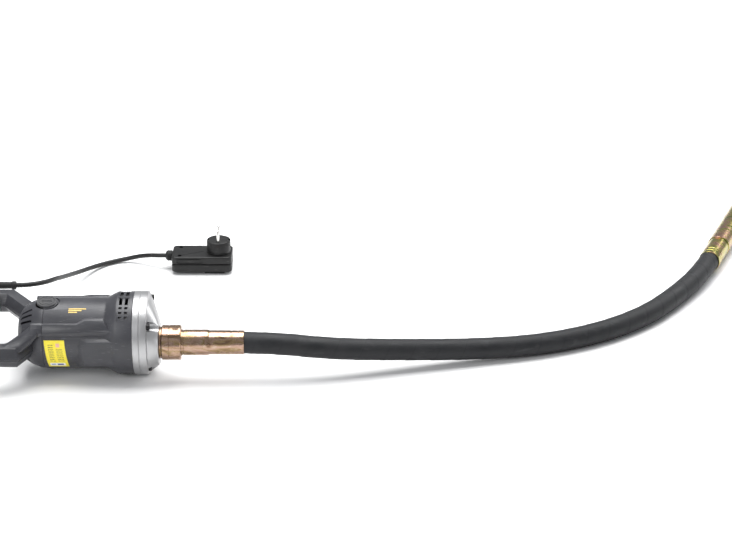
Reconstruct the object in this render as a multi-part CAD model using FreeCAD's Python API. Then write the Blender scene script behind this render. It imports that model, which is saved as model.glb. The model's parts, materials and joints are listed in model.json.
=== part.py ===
import FreeCAD, Part
import math
import os

from FreeCAD import Vector

# Concrete vibrator: an electric drive unit with a ring handle, a rubber hose with a turning core,
# and a poker head.
# The drive unit is modelled about its motor axis (X, towards the hose), with the casing's
# parting plane at z = 0.
# place_unit() then rolls it over on its round gear case and lifts it to its height above the floor.

os.makedirs("parts", exist_ok=True)

# ---- How it lies ------------------------------------------------------------------------------
ROLL_DEG = 6.4            # the unit rolls over on its gear case until the handle points almost flat to one side
FIT = 0.03                # radial clearance of pieces that are seated in each other
RUNNING = 0.05            # radial clearance of a shaft that turns in a bearing
GAP = 0.3                 # space between pieces that move past each other

# ---- Motor casing -----------------------------------------------------------------------------
BARREL_R = 50.0
BARREL_WALL = 5.0
BARREL_REAR_X = -134.0
BARREL_FRONT_X = -10.0
FLARE_REAR_X = -50.0
FLARE_FRONT_X = -32.0
FLARE_RISE = 8.0
FLANGE_R = BARREL_R + FLARE_RISE
FLANGE_WALL = 4.0
BAND_HEIGHT = 4.0         # raised shoulder along each upper side
BAND_FRONT_X = -44.0
CHEEK_Y = BARREL_R + 4.0  # flat raised cheek on each side
CHEEK_TOP = 17.0
CHEEK_BOTTOM = -22.0
CHEEK_REAR_X = -76.0
CHEEK_RAMP = 10.0
VENT_WIDTH = 4.5
VENT_COLUMNS_X = (-27.0, -19.0)
VENT_ROWS = ((10.0, 14.0), (22.5, 4.0), (30.5, 4.0), (38.0, 4.0))   # angle from the top, height
CAP_REAR_X = -171.0       # rear face of the motor end
CAP_WALL = 4.0

# ---- Gear case --------------------------------------------------------------------------------
CASE_R = FLANGE_R + 0.6
AXIS_HEIGHT = CASE_R - 0.6   # motor axis above the floor, which the gear case rests on
PLATE_FRONT_X = -1.0
CASE_FRONT_X = 10.0
NOSE_MID_X = 19.0
NOSE_FRONT_X = 26.0
NOSE_MID_R = 42.0
NOSE_MID_Y = -13.0
NOSE_R = 31.0
CASE_WALL = 4.6
CASE_SCREW_R = CASE_R - 6.6  # circle of the four case screws
CASE_SCREW_ANGLE = 40.0   # up and down from the parting plane
CASE_BOSS_R = 6.0
CASE_SCREW_SHANK_R = 2.5
CASE_SCREW_HEAD_R = 4.25
CASE_SCREW_LENGTH = 38.0
CASE_SCREW_HEAD = 4.0

# ---- Gears ------------------------------------------------------------------------------------
MODULE = 1.25
PINION_TEETH = 13
WHEEL_TEETH = 29
GEAR_REAR_X = 1.0
GEAR_WIDTH = 8.0
BACKLASH = 0.24           # taken off each tooth's thickness

# ---- Shafts and bearings ----------------------------------------------------------------------
ARMATURE_SHAFT_R = 6.0
REAR_JOURNAL_R = 4.0
PINION_SEAT_R = 5.0
SPINDLE_R = 8.5
SPINDLE_TAIL_R = 4.0
WHEEL_SEAT_R = 8.0
REAR_BEARING_X = -162.0
FRONT_BEARING_X = -17.0
SPINDLE_REAR_BEARING_X = -8.0
SPINDLE_FRONT_BEARING_X = 9.3
BEARING_608 = (4.0, 11.0, 7.0)      # bore radius, outer radius, width
BEARING_6001 = (6.0, 14.0, 8.0)
BEARING_6203 = (8.5, 20.0, 12.0)

# ---- Motor ------------------------------------------------------------------------------------
CORE_REAR_X = -105.0
CORE_FRONT_X = -45.0
ARMATURE_R = 24.0
AIR_GAP = 1.0
SLOT_COUNT = 12
SLOT_WIDTH = 3.0
SLOT_DEPTH = 8.0
END_TURN = 9.0
END_TURN_R = 21.0
COMMUTATOR_R = 16.0
COMMUTATOR_REAR_X = -143.0
COMMUTATOR_FRONT_X = -119.0
COMMUTATOR_BARS = 24
FAN_R = 40.0
FAN_REAR_X = -30.0
FAN_FRONT_X = -18.5
FAN_BLADES = 12
BAFFLE_X = -36.5

# ---- Brushes ----------------------------------------------------------------------------------
BRUSH_X = -131.0
BRUSH_LENGTH_X = 14.0
BRUSH_WIDTH = 8.0
BRUSH_TOP = 36.0
BRUSH_SIDE_GAP = 0.1      # between a brush and its holder
HOLDER_WALL = 1.0
HOLDER_TOP = BRUSH_TOP + 6.0
BRUSH_SPRING_R = 3.4
BRUSH_BOSS_R = 15.5
BRUSH_BOSS_TOP = BARREL_R - 1.5
BRUSH_DISH_R = 18.0       # shallow dish in the casing round each brush cap
BRUSH_DISH_Z = 47.2
BRUSH_CAP_R = 14.0
BRUSH_CAP_THREAD_R = 10.8
BRUSH_CAP_HEAD = 2.8

# ---- Handle (plan outline of its casing at the parting plane) ---------------------------------
BAR_HALF_HEIGHT = 15.0
BAR_WIDTH = 28.0
BAR_CHAMFER = 7.0         # the bars are six-sided: this much narrower at the top and bottom
BAR_LIP = 2.0             # upright band at the parting plane
BAR_WALL = 3.0
NEAR_BAR_Y = -74.0        # outer edge of the near bar
FAR_BAR_Y = 72.0          # inner edge of the far bar
HANDLE_REAR_X = -346.0
INLET_X = -292.0          # front face of the block that the cord goes into
INLET_Y = 143.0
SCREW_BOSS_R = 4.6
SCREW_SHANK_R = 2.0
SCREW_HEAD_R = 3.6
SCREW_HEAD_Z = -11.5
SCREW_TOP_Z = 9.0
LOUVRE_ANGLES = (14, 26, 38)
LOUVRE_HALF_WIDTH = 1.6
LOUVRE_FRONT_X = -150.0

# ---- Trigger and switch -----------------------------------------------------------------------
TRIGGER_REAR_X = -280.0
TRIGGER_FRONT_X = -211.0
TRIGGER_HALF_HEIGHT = 9.0
TRIGGER_PROUD = 6.0
TRIGGER_DEPTH = 12.5
TRIGGER_PIVOT = (-217.0, 82.5)
TRIGGER_PIN_R = 2.0
TRIGGER_PIN_HALF_LENGTH = 11.3
SWITCH_X = (-266.0, -232.0)
SWITCH_Y = (86.5, 92.6)
SWITCH_HALF_HEIGHT = 8.0
PLUNGER_X = (-254.0, -246.0)
PLUNGER_Y = 83.6
TERMINAL_Z = (-5.0, 5.0)
TRIGGER_SPRING_X = -275.5
TRIGGER_SPRING_R = 2.6
TRIGGER_SPRING_LENGTH = 11.0
SPRING_WALL = 0.8

# ---- Hose -------------------------------------------------------------------------------------
HOSE_R = 15.5
HOSE_BORE_R = 8.5
CORE_R = 6.0
HOSE_SEAT_CLEARANCE = 0.1

# ---- Coupling between gear case and hose ------------------------------------------------------
FERRULE_WALL = 1.4
FERRULE_SLEEVE_R = HOSE_R + HOSE_SEAT_CLEARANCE + FERRULE_WALL
FERRULE_R = FERRULE_SLEEVE_R + 1.0
FERRULE_COLLAR_R = FERRULE_R + 2.5
FERRULE_COLLAR_FRONT_X = 50.0
FERRULE_STEP_X = 94.0
FERRULE_FRONT_X = 143.0
ADAPTER_SPIGOT_R = 17.0
ADAPTER_THREAD_R = FERRULE_COLLAR_R + 0.2
ADAPTER_FRONT_X = 46.0
NECK_R = ADAPTER_THREAD_R + 1.3
NECK_FRONT_X = 29.0
NUT_WALL = 3.8
NUT_R = ADAPTER_THREAD_R + NUT_WALL
NUT_FRONT_X = 56.0
NUT_FLAT_DEPTH = 1.6
NUT_FLAT_LENGTH = 12.0
SEAL_R = 13.0
SEAL_WIDTH = 6.0
DRIVE_END_R = 7.5
BUSH_R = DRIVE_END_R + 6.5
BUSH_X = (65.0, 80.0)
SPINDLE_FRONT_X = 60.0
SOCKET_REAR_X = 33.0
SOCKET_SIDE = 7.2
SQUARE_REAR_X = 35.0
SQUARE_FRONT_X = 64.0
SQUARE_SIDE = 7.0
BORE_ROOM = 1.5           # space round the spindle in the adapter and the ferrule

# ---- Poker head (along its own axis, from the end of its ferrule) -----------------------------
POKER_POS = (843.5, 340.0)
POKER_DEG = 68.5
POKER_R = 17.5
POKER_WALL = 3.5
POKER_BORE_R = POKER_R - POKER_WALL
POKER_FERRULE_R = HOSE_R + 1.0
POKER_FERRULE_LENGTH = 62.0
HOSE_INSERT = 45.0
POKER_LENGTH = 390.0
POKER_TIP_LENGTH = 38.0
POKER_TIP_START = POKER_LENGTH - POKER_TIP_LENGTH
POKER_TIP_R = 11.0
ROTOR_REAR_BEARING = 100.0
ROTOR_FRONT_BEARING = POKER_TIP_START - 32.0
ROTOR_COLLAR_R = 9.0
ROTOR_START = 84.0
ECCENTRIC_R = POKER_BORE_R - 1.5
CORE_END_LENGTH = 82.0    # where the crimped sleeve of the core ends, and its square starts
CORE_SQUARE_SIDE = 6.0
ROTOR_SOCKET_SIDE = 6.2

# ---- Power cord and plug ----------------------------------------------------------------------
CORD_R = 3.5
SLEEVE_R = CORD_R + 1.5
SLEEVE_BEAD_R = SLEEVE_R + 1.15
SLEEVE_Y = 129.0
SLEEVE_FRONT_X = -195.0
PLUG_X = (11.5, 104.5)
PLUG_Y = (328.0, 377.0)
PLUG_Z = (4.0, 29.2)
PLUG_CORNER_R = 7.0
PLUG_WALL = 2.2
PLUG_PANEL_X = (62.0, 93.0)
PIN_BOSS_XY = (83.6, 353.0)
PIN_BOSS_R = 18.5
PIN_BOSS_TOP = 49.0
PIN_R = 2.4
PIN_SHANK_R = 2.0         # the part of each pin that is held in the moulding
PIN_SHANK_BOTTOM = 24.0
PIN_LENGTH = 19.0
PIN_SPACING = 19.0
PIN_TIP_ROUND = 1.4
GLAND_Z = 20.5
GLAND_Y = 356.5
GLAND_R = CORD_R + 2.5
GLAND_NUT_R = CORD_R + 4.9
PLUG_SPLIT_Z = 17.0
PLUG_SCREWS = ((24.0, 336.0), (24.0, 369.0))
PLUG_SCREW_R = 1.5
PLUG_SCREW_HEAD_R = 2.9
BUTTON_X = 77.5
BUTTON_Y = (343.0, 362.0)
BUTTON_SIDE = 10.0
BUTTON_FLANGE = 1.5
BUTTON_SPRING_R = 3.0
BUTTON_SPRING_Z = (8.4, 12.8)
BOARD_X = (32.0, 96.0)
BOARD_Z = (13.0, 14.6)
EARTH_RECESS_WIDTH = 6.4
LABEL_X = (-131.0, -103.0)
LABEL_ANGLES = (71.0, 99.0, 128.0)   # from the top, down the near side
CLAMP_BACK = 32.0         # from the inlet's face to the middle of the cord's clamp

# ---- Values that follow -----------------------------------------------------------------------
CENTRE_DISTANCE = MODULE * (PINION_TEETH + WHEEL_TEETH) / 2
OUTPUT_Y = -CENTRE_DISTANCE
STATOR_R = BARREL_R - BARREL_WALL - FIT
STATOR_BORE_R = ARMATURE_R + AIR_GAP
ROLL = math.radians(ROLL_DEG)
FAR_OUTER_Y = FAR_BAR_Y + BAR_WIDTH
NEAR_INNER_Y = NEAR_BAR_Y + BAR_WIDTH
HANDLE_INNER_REAR_X = HANDLE_REAR_X + BAR_WIDTH
OUTPUT_ROW_Y = OUTPUT_Y * math.cos(ROLL)
OUTPUT_ROW_Z = AXIS_HEIGHT + OUTPUT_Y * math.sin(ROLL)
SLEEVE_ROW_Y = SLEEVE_Y * math.cos(ROLL)
SLEEVE_ROW_Z = AXIS_HEIGHT + SLEEVE_Y * math.sin(ROLL)
HOSE_START_X = 100.0
POKER_AXIS = Vector(math.cos(math.radians(POKER_DEG)), math.sin(math.radians(POKER_DEG)), 0)
POKER_START = Vector(POKER_POS[0], POKER_POS[1], POKER_R)

# Routes of the hose and of the power cord, from corner to corner, in the row frame.
HOSE_END = POKER_START + POKER_AXIS * HOSE_INSERT
HOSE_LAST_BEND = HOSE_END - POKER_AXIS * 86.0
HOSE_ROUTE = [
    (HOSE_START_X, OUTPUT_ROW_Y, OUTPUT_ROW_Z),
    (178.0, OUTPUT_ROW_Y, OUTPUT_ROW_Z),
    (264.0, -20.0, 42.0),
    (362.0, 2.0, 30.0),
    (460.0, 24.0, 20.0),
    (555.0, 46.0, HOSE_R),
    (645.0, 84.0, HOSE_R),
    (723.0, 145.0, HOSE_R),
    (780.0, 222.0, HOSE_R),
    tuple(HOSE_LAST_BEND),
    tuple(HOSE_END),
]
CORD_ROUTE = [
    (-209.0, SLEEVE_ROW_Y, SLEEVE_ROW_Z),
    (-187.0, SLEEVE_ROW_Y, SLEEVE_ROW_Z),
    (-166.0, 134.5, 72.0),
    (-151.0, 150.5, 69.0),
    (-144.0, 176.0, 62.0),
    (-141.0, 212.0, 48.0),
    (-136.0, 254.0, 33.0),
    (-128.0, 297.0, 18.5),
    (-112.0, 341.0, CORD_R + 4.0),
    (-90.0, 368.0, CORD_R),
    (-62.0, 380.0, CORD_R + 1.5),
    (-34.0, 371.0, 14.5),
    (-10.0, GLAND_Y, GLAND_Z),
    (14.0, GLAND_Y, GLAND_Z),
]


# ---- Helpers ----------------------------------------------------------------------------------
def place_unit(shape):
    """Rolls a piece of the drive unit over and lifts it to its height above the floor."""
    placed = shape.copy()
    placed.rotate(Vector(0, 0, 0), Vector(1, 0, 0), ROLL_DEG)
    placed.translate(Vector(0, 0, AXIS_HEIGHT))
    return placed


def place_poker(shape):
    """Puts a piece of the poker, modelled along X from its ferrule's end, where the poker lies."""
    placed = shape.copy()
    placed.rotate(Vector(0, 0, 0), Vector(0, 0, 1), POKER_DEG)
    placed.translate(POKER_START)
    return placed


def save(name, *shapes):
    """Writes one node, which may be a group of separate solids."""
    solids = [solid for shape in shapes for solid in shape.Solids]
    shape = solids[0] if len(solids) == 1 else Part.makeCompound(solids)
    shape.exportStep("parts/" + name + ".step")
    for solid in solids:
        if not solid.isValid() or solid.Volume <= 0:
            print("PROBLEM", name)


def save_unit(name, *shapes):
    save(name, *[place_unit(shape) for shape in shapes])


def save_poker(name, *shapes):
    save(name, *[place_poker(shape) for shape in shapes])


def rod(x0, x1, radius, y=0.0, z=0.0):
    """A cylinder along X."""
    return Part.makeCylinder(radius, x1 - x0, Vector(x0, y, z), Vector(1, 0, 0))


def ring(x0, x1, outer, inner, y=0.0, z=0.0):
    return rod(x0, x1, outer, y, z).cut(rod(x0 - 1, x1 + 1, inner, y, z))


def post(x, y, z0, z1, radius):
    """A cylinder along Z."""
    return Part.makeCylinder(radius, z1 - z0, Vector(x, y, z0), Vector(0, 0, 1))


def block(x0, x1, y0, y1, z0, z1):
    return Part.makeBox(x1 - x0, y1 - y0, z1 - z0, Vector(x0, y0, z0))


def turned(points, y=0.0):
    """A solid of revolution about the X direction, from (x, radius) points."""
    corners = [Vector(x, r, 0) for x, r in points]
    face = Part.Face(Part.makePolygon(corners + corners[:1]))
    solid = face.revolve(Vector(0, 0, 0), Vector(1, 0, 0), 360)
    solid.translate(Vector(0, y, 0))
    return solid


def prism(points, z0, z1):
    corners = [Vector(x, y, z0) for x, y in points]
    face = Part.Face(Part.makePolygon(corners + corners[:1]))
    return face.extrude(Vector(0, 0, z1 - z0))


def cut_all(shape, tools):
    for tool in tools:
        shape = shape.cut(tool)
    return shape


def fuse_all(shapes):
    return shapes[0].multiFuse(shapes[1:]).removeSplitter()


def mirror_y(shape):
    return shape.mirror(Vector(0, 0, 0), Vector(0, 1, 0))


def mirror_z(shape):
    return shape.mirror(Vector(0, 0, 0), Vector(0, 0, 1))


def turn_x(shape, degrees, y=0.0):
    turned_shape = shape.copy()
    turned_shape.rotate(Vector(0, y, 0), Vector(1, 0, 0), degrees)
    return turned_shape


def inset(points, distance):
    """Moves every side of a counter-clockwise outline inwards, with mitred corners."""
    result = []
    count = len(points)
    for i in range(count):
        ax, ay = points[i - 1]
        bx, by = points[i]
        cx, cy = points[(i + 1) % count]
        first = Vector(bx - ax, by - ay, 0).normalize()
        second = Vector(cx - bx, cy - by, 0).normalize()
        first_normal = Vector(-first.y, first.x, 0)
        second_normal = Vector(-second.y, second.x, 0)
        share = distance / (1 + first_normal.dot(second_normal))
        moved = Vector(bx, by, 0) + (first_normal + second_normal) * share
        result.append((moved.x, moved.y))
    return result


def taper(points, amount, z0, z1):
    """A solid whose outline shrinks by amount from z0 to z1."""
    sections = []
    for outline, z in ((points, z0), (inset(points, amount), z1)):
        corners = [Vector(x, y, z) for x, y in outline]
        sections.append(Part.makePolygon(corners + corners[:1]))
    return Part.makeLoft(sections, True, True)


def bearing(x, size, y=0.0):
    """Outer ring, inner ring and sealed cage of a ball bearing, as separate solids."""
    bore, outer, width = size
    race = (outer - bore) * 0.3
    return [
        ring(x, x + width, outer, outer - race, y),
        ring(x, x + width, bore + race, bore + RUNNING, y),
        ring(x + 0.5, x + width - 0.5, outer - race - FIT, bore + race + FIT, y),
    ]


def gear(teeth, x0, width, y, phase_deg):
    """A spur gear along X: straight-flanked teeth that touch the pitch circle at the right thickness."""
    pitch_r = MODULE * teeth / 2
    tip_r = pitch_r + MODULE * 0.95
    root_r = pitch_r - MODULE * 1.2
    half_pitch = math.pi / 2 / teeth
    thin = BACKLASH / 2 / pitch_r
    points = []
    for tooth in range(teeth):
        centre = math.radians(phase_deg) + 2 * math.pi * tooth / teeth
        for radius, half in (
            (root_r, half_pitch * 1.5 - thin),
            (pitch_r, half_pitch - thin),
            (tip_r, half_pitch * 0.42),
        ):
            points.append((radius, centre - half))
        for radius, half in (
            (tip_r, half_pitch * 0.42),
            (pitch_r, half_pitch - thin),
            (root_r, half_pitch * 1.5 - thin),
        ):
            points.append((radius, centre + half))
    corners = [Vector(x0, y + r * math.cos(a), r * math.sin(a)) for r, a in points]
    return Part.Face(Part.makePolygon(corners + corners[:1])).extrude(Vector(width, 0, 0))


def rounded_path(points, start_extra=0.0, end_extra=0.0):
    """Straight runs joined by tangent arcs, and the radius of each arc."""
    corners = [Vector(*p) for p in points]
    runs = [(b - a).Length for a, b in zip(corners, corners[1:])]
    edges = []
    radii = []
    here = corners[0] - (corners[1] - corners[0]).normalize() * start_extra
    for i in range(1, len(corners) - 1):
        back = (corners[i - 1] - corners[i]).normalize()
        ahead = (corners[i + 1] - corners[i]).normalize()
        half_turn = (math.pi - back.getAngle(ahead)) / 2
        reach = 0.45 * min(runs[i - 1], runs[i])
        radius = reach / math.tan(half_turn)
        radii.append(radius)
        start = corners[i] + back * reach
        end = corners[i] + ahead * reach
        bisector = (back + ahead).normalize()
        centre = corners[i] + bisector * (radius / math.cos(half_turn))
        middle = centre - bisector * radius
        edges.append(Part.LineSegment(here, start).toShape())
        edges.append(Part.Arc(start, middle, end).toShape())
        here = end
    last = corners[-1] + (corners[-1] - corners[-2]).normalize() * end_extra
    edges.append(Part.LineSegment(here, last).toShape())
    return Part.Wire(edges), radii


def swept(path, radius):
    start = path.OrderedEdges[0]
    first = start.valueAt(start.FirstParameter)
    direction = start.tangentAt(start.FirstParameter)
    circle = Part.Wire(Part.makeCircle(radius, first, direction))
    solid = path.makePipeShell([circle], True, True)
    return Part.Solid(solid.Shells[0])


# ---- Motor casing -----------------------------------------------------------------------------
def case_screw_places():
    places = []
    for side in (-1, 1):
        for up in (-1, 1):
            angle = math.radians(CASE_SCREW_ANGLE)
            places.append((side * CASE_SCREW_R * math.cos(angle), up * CASE_SCREW_R * math.sin(angle)))
    return places


def on_circle(radius, degrees_from_top):
    """A point of the near side, at an angle from the top."""
    angle = math.radians(degrees_from_top)
    return Vector(0, -radius * math.sin(angle), radius * math.cos(angle))


def shoulder_band(x0, x1):
    """The raised shoulder along the near upper side."""
    low = BARREL_R - 2
    profile = [(low, 42), (BARREL_R + 1.2, 44), (BARREL_R + BAND_HEIGHT, 58), (BARREL_R - 0.8, 66), (low, 66)]
    corners = [on_circle(radius, angle) + Vector(x0, 0, 0) for radius, angle in profile]
    face = Part.Face(Part.makePolygon(corners + corners[:1]))
    return face.extrude(Vector(x1 - x0, 0, 0))


def cheek():
    """The flat raised cheek on the near side, with a ramp at its rear."""
    outline = [
        (CHEEK_REAR_X - CHEEK_RAMP, -BARREL_R + 2),
        (CHEEK_REAR_X, -CHEEK_Y),
        (BARREL_FRONT_X, -CHEEK_Y),
        (BARREL_FRONT_X, -BARREL_R + 2),
    ]
    return prism(outline, CHEEK_BOTTOM, CHEEK_TOP)


def motor_barrel():
    outer = turned([
        (BARREL_REAR_X, 0), (BARREL_REAR_X, BARREL_R), (FLARE_REAR_X, BARREL_R),
        (FLARE_FRONT_X, FLANGE_R), (BARREL_FRONT_X, FLANGE_R), (BARREL_FRONT_X, 0),
    ])
    bore_r = BARREL_R - BARREL_WALL
    front_bore_r = FLANGE_R - FLANGE_WALL
    bore = turned([
        (BARREL_REAR_X - 20, 0), (BARREL_REAR_X - 20, bore_r), (FLARE_REAR_X, bore_r),
        (FLARE_FRONT_X, front_bore_r), (BARREL_FRONT_X + 1, front_bore_r), (BARREL_FRONT_X + 1, 0),
    ])
    band = shoulder_band(BARREL_REAR_X, BAND_FRONT_X)
    near_cheek = cheek()
    brush_boss = post(BRUSH_X, 0, bore_r - 4, BRUSH_BOSS_TOP, BRUSH_BOSS_R)
    sides = [band, mirror_y(band), near_cheek, mirror_y(near_cheek)]
    body = fuse_all([outer, *sides, brush_boss, mirror_z(brush_boss)])
    body = body.cut(bore)
    bosses = [rod(FLARE_FRONT_X - 2, BARREL_FRONT_X, CASE_BOSS_R, y, z) for y, z in case_screw_places()]
    clip = rod(FLARE_FRONT_X - 2, BARREL_FRONT_X, FLANGE_R - 1)
    holder_boss = post(BRUSH_X, 0, STATOR_BORE_R + 3, bore_r + 1, BRUSH_CAP_THREAD_R + 2.5)
    body = fuse_all([body] + [boss.common(clip) for boss in bosses] + [holder_boss, mirror_z(holder_boss)])
    body = body.common(turned([
        (BARREL_REAR_X - 20, 0), (BARREL_REAR_X - 20, 60), (BARREL_FRONT_X, 60), (BARREL_FRONT_X, 0),
    ]))
    holes = [
        rod(BARREL_FRONT_X - CASE_SCREW_LENGTH, BARREL_FRONT_X + 1, CASE_SCREW_SHANK_R + FIT, y, z)
        for y, z in case_screw_places()
    ]
    thread = post(BRUSH_X, 0, HOLDER_TOP, BRUSH_BOSS_TOP + 5, BRUSH_CAP_THREAD_R + FIT)
    dish = post(BRUSH_X, 0, BRUSH_DISH_Z, BARREL_R + 5, BRUSH_DISH_R)
    dish = dish.cut(post(BRUSH_X, 0, BRUSH_DISH_Z - 1, BRUSH_BOSS_TOP, BRUSH_BOSS_R))
    holes += [dish, mirror_z(dish)]
    half_x = BRUSH_LENGTH_X / 2 + BRUSH_SIDE_GAP + HOLDER_WALL + FIT
    half_y = BRUSH_WIDTH / 2 + BRUSH_SIDE_GAP + HOLDER_WALL + FIT
    seat = block(BRUSH_X - half_x, BRUSH_X + half_x, -half_y, half_y, 0, HOLDER_TOP)
    holes += [thread, mirror_z(thread), seat, mirror_z(seat)]
    for angle, height in VENT_ROWS:
        for x in VENT_COLUMNS_X:
            half = VENT_WIDTH / 2
            slot = block(x - half, x + half, -height / 2, height / 2, FLANGE_R - 8, FLANGE_R + 2)
            for turn in (angle, -angle, 180 - angle, 180 + angle):
                holes.append(turn_x(slot, turn))
    return cut_all(body, holes)


# ---- Rear casing with the ring handle ---------------------------------------------------------
# Outline of the handle at the parting plane, counter-clockwise, and the gap that the hand goes through.
HANDLE_OUTLINE = [
    (-146.0, -44.0),
    (-146.0, 50.5),
    (-151.0, 56.5),
    (-189.0, FAR_OUTER_Y),
    (INLET_X + 6, FAR_OUTER_Y),
    (INLET_X, FAR_OUTER_Y + 6),
    (INLET_X, INLET_Y),
    (HANDLE_REAR_X + 10, INLET_Y),
    (HANDLE_REAR_X, INLET_Y - 12),
    (HANDLE_REAR_X, NEAR_BAR_Y + 14),
    (HANDLE_REAR_X + 14, NEAR_BAR_Y),
    (-164.0, NEAR_BAR_Y),
    (-151.0, -51.0),
]
GAP_OUTLINE = [
    (-171.0, -20.0),
    (-171.0, 20.0),
    (-176.0, 40.0),
    (-203.0, FAR_BAR_Y),
    (HANDLE_INNER_REAR_X + 14, FAR_BAR_Y),
    (HANDLE_INNER_REAR_X, FAR_BAR_Y - 14),
    (HANDLE_INNER_REAR_X, NEAR_INNER_Y + 14),
    (HANDLE_INNER_REAR_X + 14, NEAR_INNER_Y),
    (-187.0, NEAR_INNER_Y),
]
HANDLE_SCREWS = [
    (HANDLE_REAR_X + BAR_WIDTH / 2, NEAR_BAR_Y + 34),
    (HANDLE_REAR_X + BAR_WIDTH / 2, 40.0),
    (-250.0, NEAR_BAR_Y + BAR_WIDTH / 2),
    (-190.0, NEAR_BAR_Y + BAR_WIDTH / 2),
    (-199.0, FAR_BAR_Y + BAR_WIDTH / 2),
    (INLET_X - 10, INLET_Y - 30),
    (-157.0, 33.0),
    (-157.0, -33.0),
]


def end_cap(grow=0.0):
    """The round motor end, as a full body; grow makes its hollow smaller or larger."""
    return turned([
        (CAP_REAR_X - grow, 0), (CAP_REAR_X - grow, 26 + grow), (-163.0 - grow * 0.6, 42.0 + grow),
        (-152.0, BARREL_R + grow), (BARREL_REAR_X, BARREL_R + grow), (BARREL_REAR_X, 0),
    ])


def handle_frame():
    """The ring of the handle, from the parting plane up, before it is hollowed."""
    lower = prism(HANDLE_OUTLINE, 0, BAR_LIP)
    upper = taper(HANDLE_OUTLINE, BAR_CHAMFER, BAR_LIP, BAR_HALF_HEIGHT)
    gap_lower = prism(GAP_OUTLINE, -1, BAR_LIP)
    gap_upper = taper(GAP_OUTLINE, -BAR_CHAMFER, BAR_LIP, BAR_HALF_HEIGHT)
    return lower.fuse(upper), gap_lower, gap_upper


def handle_hollow():
    """The hollow inside the ring, half of it, from the parting plane up."""
    top = BAR_HALF_HEIGHT - BAR_WALL
    slope = BAR_CHAMFER * (top - BAR_LIP) / (BAR_HALF_HEIGHT - BAR_LIP)
    outer = taper(inset(HANDLE_OUTLINE, BAR_WALL + 0.6), slope, 0, top)
    inner = taper(inset(GAP_OUTLINE, -BAR_WALL - 0.6), -slope, -1, top)
    return outer.cut(inner)


def louvre():
    """A slot through the top of the round motor end."""
    return block(CAP_REAR_X + 5, LOUVRE_FRONT_X, -LOUVRE_HALF_WIDTH, LOUVRE_HALF_WIDTH, 28, BARREL_R + 10)


def upper_casing():
    frame, gap_lower, gap_upper = handle_frame()
    above = block(-400, BARREL_REAR_X, -200, 200, 0, 80)
    cap = end_cap().common(above)
    band = shoulder_band(-158.0, BARREL_REAR_X)
    body = fuse_all([frame, cap, band, mirror_y(band)])
    body = cut_all(body, [gap_lower, gap_upper])
    hollow = end_cap(-CAP_WALL).fuse(rod(BARREL_REAR_X - 12, BARREL_REAR_X, BARREL_R - BARREL_WALL))
    body = cut_all(body, [hollow, handle_hollow()])
    seat = ring(CAP_REAR_X + 1, REAR_BEARING_X + BEARING_608[2] + 1, 15.0, BEARING_608[1] + FIT).common(above)
    stop = ring(CAP_REAR_X + 1, REAR_BEARING_X, 15.0, 6.0).common(above)
    body = fuse_all([body, seat, stop])
    bosses = [post(x, y, 0, BAR_HALF_HEIGHT - BAR_WALL + 1, SCREW_BOSS_R) for x, y in HANDLE_SCREWS]
    body = fuse_all([body] + bosses)
    pilots = [post(x, y, -1, SCREW_TOP_Z + 1, SCREW_SHANK_R + FIT) for x, y in HANDLE_SCREWS]
    louvres = []
    for angle in LOUVRE_ANGLES:
        slot = louvre()
        louvres += [turn_x(slot, angle), turn_x(slot, -angle)]
    brush_clear = post(BRUSH_X, 0, 20, 80, BRUSH_BOSS_R + GAP)
    return cut_all(body, pilots + louvres + [brush_clear] + casing_openings())


def casing_openings():
    """What both casings leave open: trigger slot, cord sleeve, and space for the trigger's pin."""
    slot = block(
        TRIGGER_REAR_X - GAP * 3, TRIGGER_FRONT_X + GAP * 3, FAR_BAR_Y - 2, FAR_BAR_Y + 12,
        -TRIGGER_HALF_HEIGHT - GAP, TRIGGER_HALF_HEIGHT + GAP,
    )
    sleeve = rod(INLET_X - 24, INLET_X + 1, SLEEVE_R + 1.5 + FIT, SLEEVE_Y)
    groove = rod(INLET_X - 12, INLET_X - 7, SLEEVE_R + 3.5 + FIT, SLEEVE_Y)
    half = TRIGGER_PIN_HALF_LENGTH + 0.2
    pin = post(TRIGGER_PIVOT[0], TRIGGER_PIVOT[1], -half, half, TRIGGER_PIN_R + FIT)
    return [slot, sleeve, groove, pin]


def lower_casing():
    frame, gap_lower, gap_upper = handle_frame()
    above = block(-400, BARREL_REAR_X, -200, 200, 0, 80)
    body = fuse_all([frame, end_cap().common(above)])
    body = cut_all(body, [gap_lower, gap_upper])
    hollow = end_cap(-CAP_WALL).fuse(rod(BARREL_REAR_X - 12, BARREL_REAR_X, BARREL_R - BARREL_WALL))
    body = cut_all(body, [hollow, handle_hollow()])
    seat = ring(CAP_REAR_X + 1, REAR_BEARING_X + BEARING_608[2] + 1, 15.0, BEARING_608[1] + FIT).common(above)
    stop = ring(CAP_REAR_X + 1, REAR_BEARING_X, 15.0, 6.0).common(above)
    bosses = [post(x, y, 0, BAR_HALF_HEIGHT - BAR_WALL + 1, SCREW_BOSS_R) for x, y in HANDLE_SCREWS]
    body = mirror_z(fuse_all([body, seat, stop] + bosses))
    holes = []
    for x, y in HANDLE_SCREWS:
        holes.append(post(x, y, SCREW_HEAD_Z - 1, 1, SCREW_SHANK_R + 0.3))
        holes.append(post(x, y, -60, SCREW_HEAD_Z, SCREW_HEAD_R + 0.4))
    for angle in LOUVRE_ANGLES:
        slot = louvre()
        holes += [turn_x(slot, 180 - angle), turn_x(slot, 180 + angle)]
    holes.append(mirror_z(post(BRUSH_X, 0, 20, 80, BRUSH_BOSS_R + GAP)))
    return cut_all(body, holes + casing_openings())


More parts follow.
